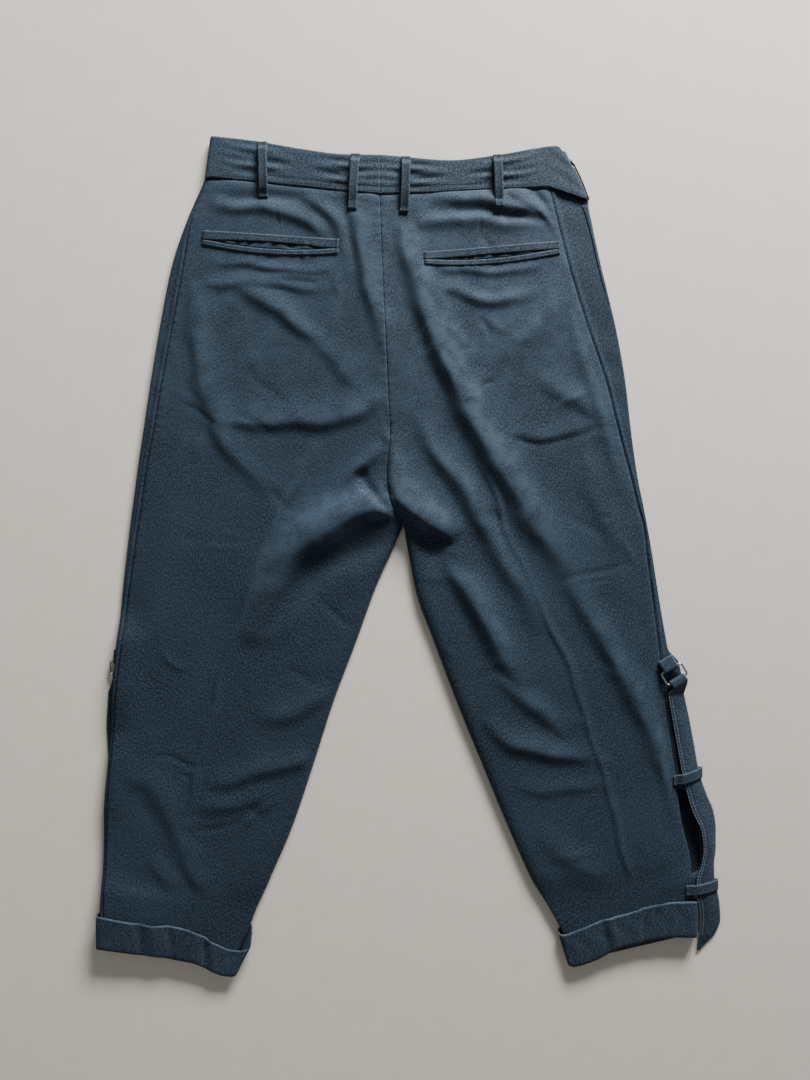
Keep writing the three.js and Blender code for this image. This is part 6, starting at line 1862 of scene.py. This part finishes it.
# %% Stitch tree
def stitch_tree():
    tree = bpy.data.node_groups.new("sewn_stitches", "GeometryNodeTree")
    face = tree.interface
    face.new_socket(name="Geometry", in_out="INPUT", socket_type="NodeSocketGeometry")
    for label, value in (("Stitch Length", 0.003), ("Filled Share", 0.72), ("Thickness", 0.0005)):
        face.new_socket(name=label, in_out="INPUT", socket_type="NodeSocketFloat").default_value = value
    face.new_socket(name="Thread", in_out="INPUT", socket_type="NodeSocketMaterial")
    face.new_socket(name="Geometry", in_out="OUTPUT", socket_type="NodeSocketGeometry")
    given, result = tree.nodes.new("NodeGroupInput"), tree.nodes.new("NodeGroupOutput")
    length, filled = given.outputs["Stitch Length"], given.outputs["Filled Share"]
    line = add_node(tree, "GeometryNodeMeshToCurve", {"Mesh": given.outputs["Geometry"]})
    even = add_node(
        tree, "GeometryNodeResampleCurve", {"Curve": line.outputs[0], "Length": length}, mode="LENGTH")
    spots = add_node(tree, "GeometryNodeCurveToPoints", {0: even.outputs[0]}, mode="EVALUATED")
    shape = add_node(tree, "GeometryNodeMeshUVSphere", {"Segments": 6, "Rings": 4, "Radius": 0.5})
    reach = maths(tree, "MULTIPLY", length, filled)
    thick = given.outputs["Thickness"]
    size = add_node(tree, "ShaderNodeCombineXYZ", {0: thick, 1: thick, 2: reach.outputs[0]})
    vary = tree.nodes.new("FunctionNodeRandomValue")
    vary.data_type = "FLOAT_VECTOR"
    vary.inputs[0].default_value = (0.85, 0.85, 0.86)
    vary.inputs[1].default_value = (1.15, 1.15, 1.1)
    vary.inputs["Seed"].default_value = 12
    scale = add_node(
        tree, "ShaderNodeVectorMath", {0: size.outputs[0], 1: vary.outputs[0]}, operation="MULTIPLY")
    turned = add_node(tree, "GeometryNodeInstanceOnPoints", {
        "Points": spots.outputs["Points"], "Instance": shape.outputs["Mesh"],
        "Rotation": spots.outputs["Rotation"], "Scale": scale.outputs[0]})
    real = add_node(tree, "GeometryNodeRealizeInstances", {0: turned.outputs[0]})
    soft = add_node(tree, "GeometryNodeSetShadeSmooth", {0: real.outputs[0]})
    made = add_node(tree, "GeometryNodeSetMaterial", {
        "Geometry": soft.outputs[0], "Material": given.outputs["Thread"]})
    tree.links.new(made.outputs[0], result.inputs["Geometry"])
    return tree


STITCHES = stitch_tree()
SOCKET = {item.name: item.identifier for item in STITCHES.interface.items_tree if item.in_out == "INPUT"}


def sew(name, lines, length, filled, thickness, finish):
    vertices, edges = [], []
    for line in lines:
        start = len(vertices)
        vertices += (np.asarray(line) * MM).tolist()
        edges += [(start + k, start + k + 1) for k in range(len(line) - 1)]
    mesh = bpy.data.meshes.new(name + "_lines")
    mesh.from_pydata(vertices, edges, [])
    source = bpy.data.objects.new(name + "_lines", mesh)
    bpy.context.scene.collection.objects.link(source)
    modifier = source.modifiers.new("stitches", "NODES")
    modifier.node_group = STITCHES
    modifier[SOCKET["Stitch Length"]] = length
    modifier[SOCKET["Filled Share"]] = filled
    modifier[SOCKET["Thickness"]] = thickness
    modifier[SOCKET["Thread"]] = finish
    seen = source.evaluated_get(bpy.context.evaluated_depsgraph_get())
    made = bpy.data.meshes.new_from_object(seen)
    piece = bpy.data.objects.new(name, made)
    bpy.context.scene.collection.objects.link(piece)
    bpy.data.objects.remove(source)
    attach(piece, "root")
    print(name, len(made.polygons), "faces")
    return piece


sew("topstitching", topstitching, 0.0031, 0.74, 0.0005, thread)
sew("fine_stitching", fine_rows, 0.0024, 0.7, 0.0004, thread)
sew("strap_piping", piping, 0.0034, 0.94, 0.0007, pale_thread)
sew("bar_tacks", bar_tacks, 0.0009, 1.25, 0.0007, dark_thread)

# %% [markdown]
# ## Floor and light
#
# A plain pale floor, and the light of a large window beyond the waistband, a little to the
# right. Cloth laid flat is only readable by its shadows, so the main light comes in low
# enough to shade the far flank of each crease, and a weak even sky fills the rest.

# %% Floor and light
def make_floor():
    mesh = bpy.data.meshes.new("floor")
    half = 4.0
    corners = [(-half, -half, 0), (half, -half, 0), (half, half, 0), (-half, half, 0)]
    mesh.from_pydata(corners, [], [(0, 1, 2, 3)])
    floor = bpy.data.objects.new("floor", mesh)
    bpy.context.scene.collection.objects.link(floor)
    floor.location.z = -0.0002
    material = bpy.data.materials.new("pale_floor")
    material.use_nodes = True
    tree = material.node_tree
    place = add_node(tree, "ShaderNodeTexCoord").outputs["Object"]
    grain = add_node(tree, "ShaderNodeTexNoise", {"Vector": place, "Scale": 40.0, "Detail": 4.0})
    tint = add_node(tree, "ShaderNodeMix", {
        0: grain.outputs[0], 6: (0.79, 0.71, 0.61, 1), 7: (0.85, 0.78, 0.68, 1)}, data_type="RGBA")
    tree.links.new(tint.outputs[2], tree.nodes["Principled BSDF"].inputs["Base Color"])
    tree.nodes["Principled BSDF"].inputs["Roughness"].default_value = 0.8
    mesh.materials.append(material)


def area_light(name, place, aim, size, power, colour):
    data = bpy.data.lights.new(name, "AREA")
    data.shape = "RECTANGLE"
    data.size, data.size_y = size
    data.energy = power
    data.color = colour
    light = bpy.data.objects.new(name, data)
    bpy.context.scene.collection.objects.link(light)
    light.location = place
    x, y, z = (a - b for a, b in zip(aim, place))
    tilt = math.acos(-z / math.sqrt(x * x + y * y + z * z))
    light.rotation_euler = (tilt, 0, math.atan2(y, x) - math.pi / 2)


make_floor()
area_light("window", (0.85, 2.45, 0.84), (0.0, 0.0, 0.0), (1.3, 0.55), 222, (0.95, 0.98, 1.0))
area_light("room", (-1.1, -0.9, 1.6), (0.0, 0.0, 0.0), (1.6, 1.6), 3, (1.0, 0.97, 0.93))
world = bpy.data.worlds.new("soft_room")
world.use_nodes = True
world.node_tree.nodes["Background"].inputs["Color"].default_value = (0.92, 0.96, 1.0, 1)
world.node_tree.nodes["Background"].inputs["Strength"].default_value = 0.15
bpy.context.scene.world = world
print("floor and light ready")
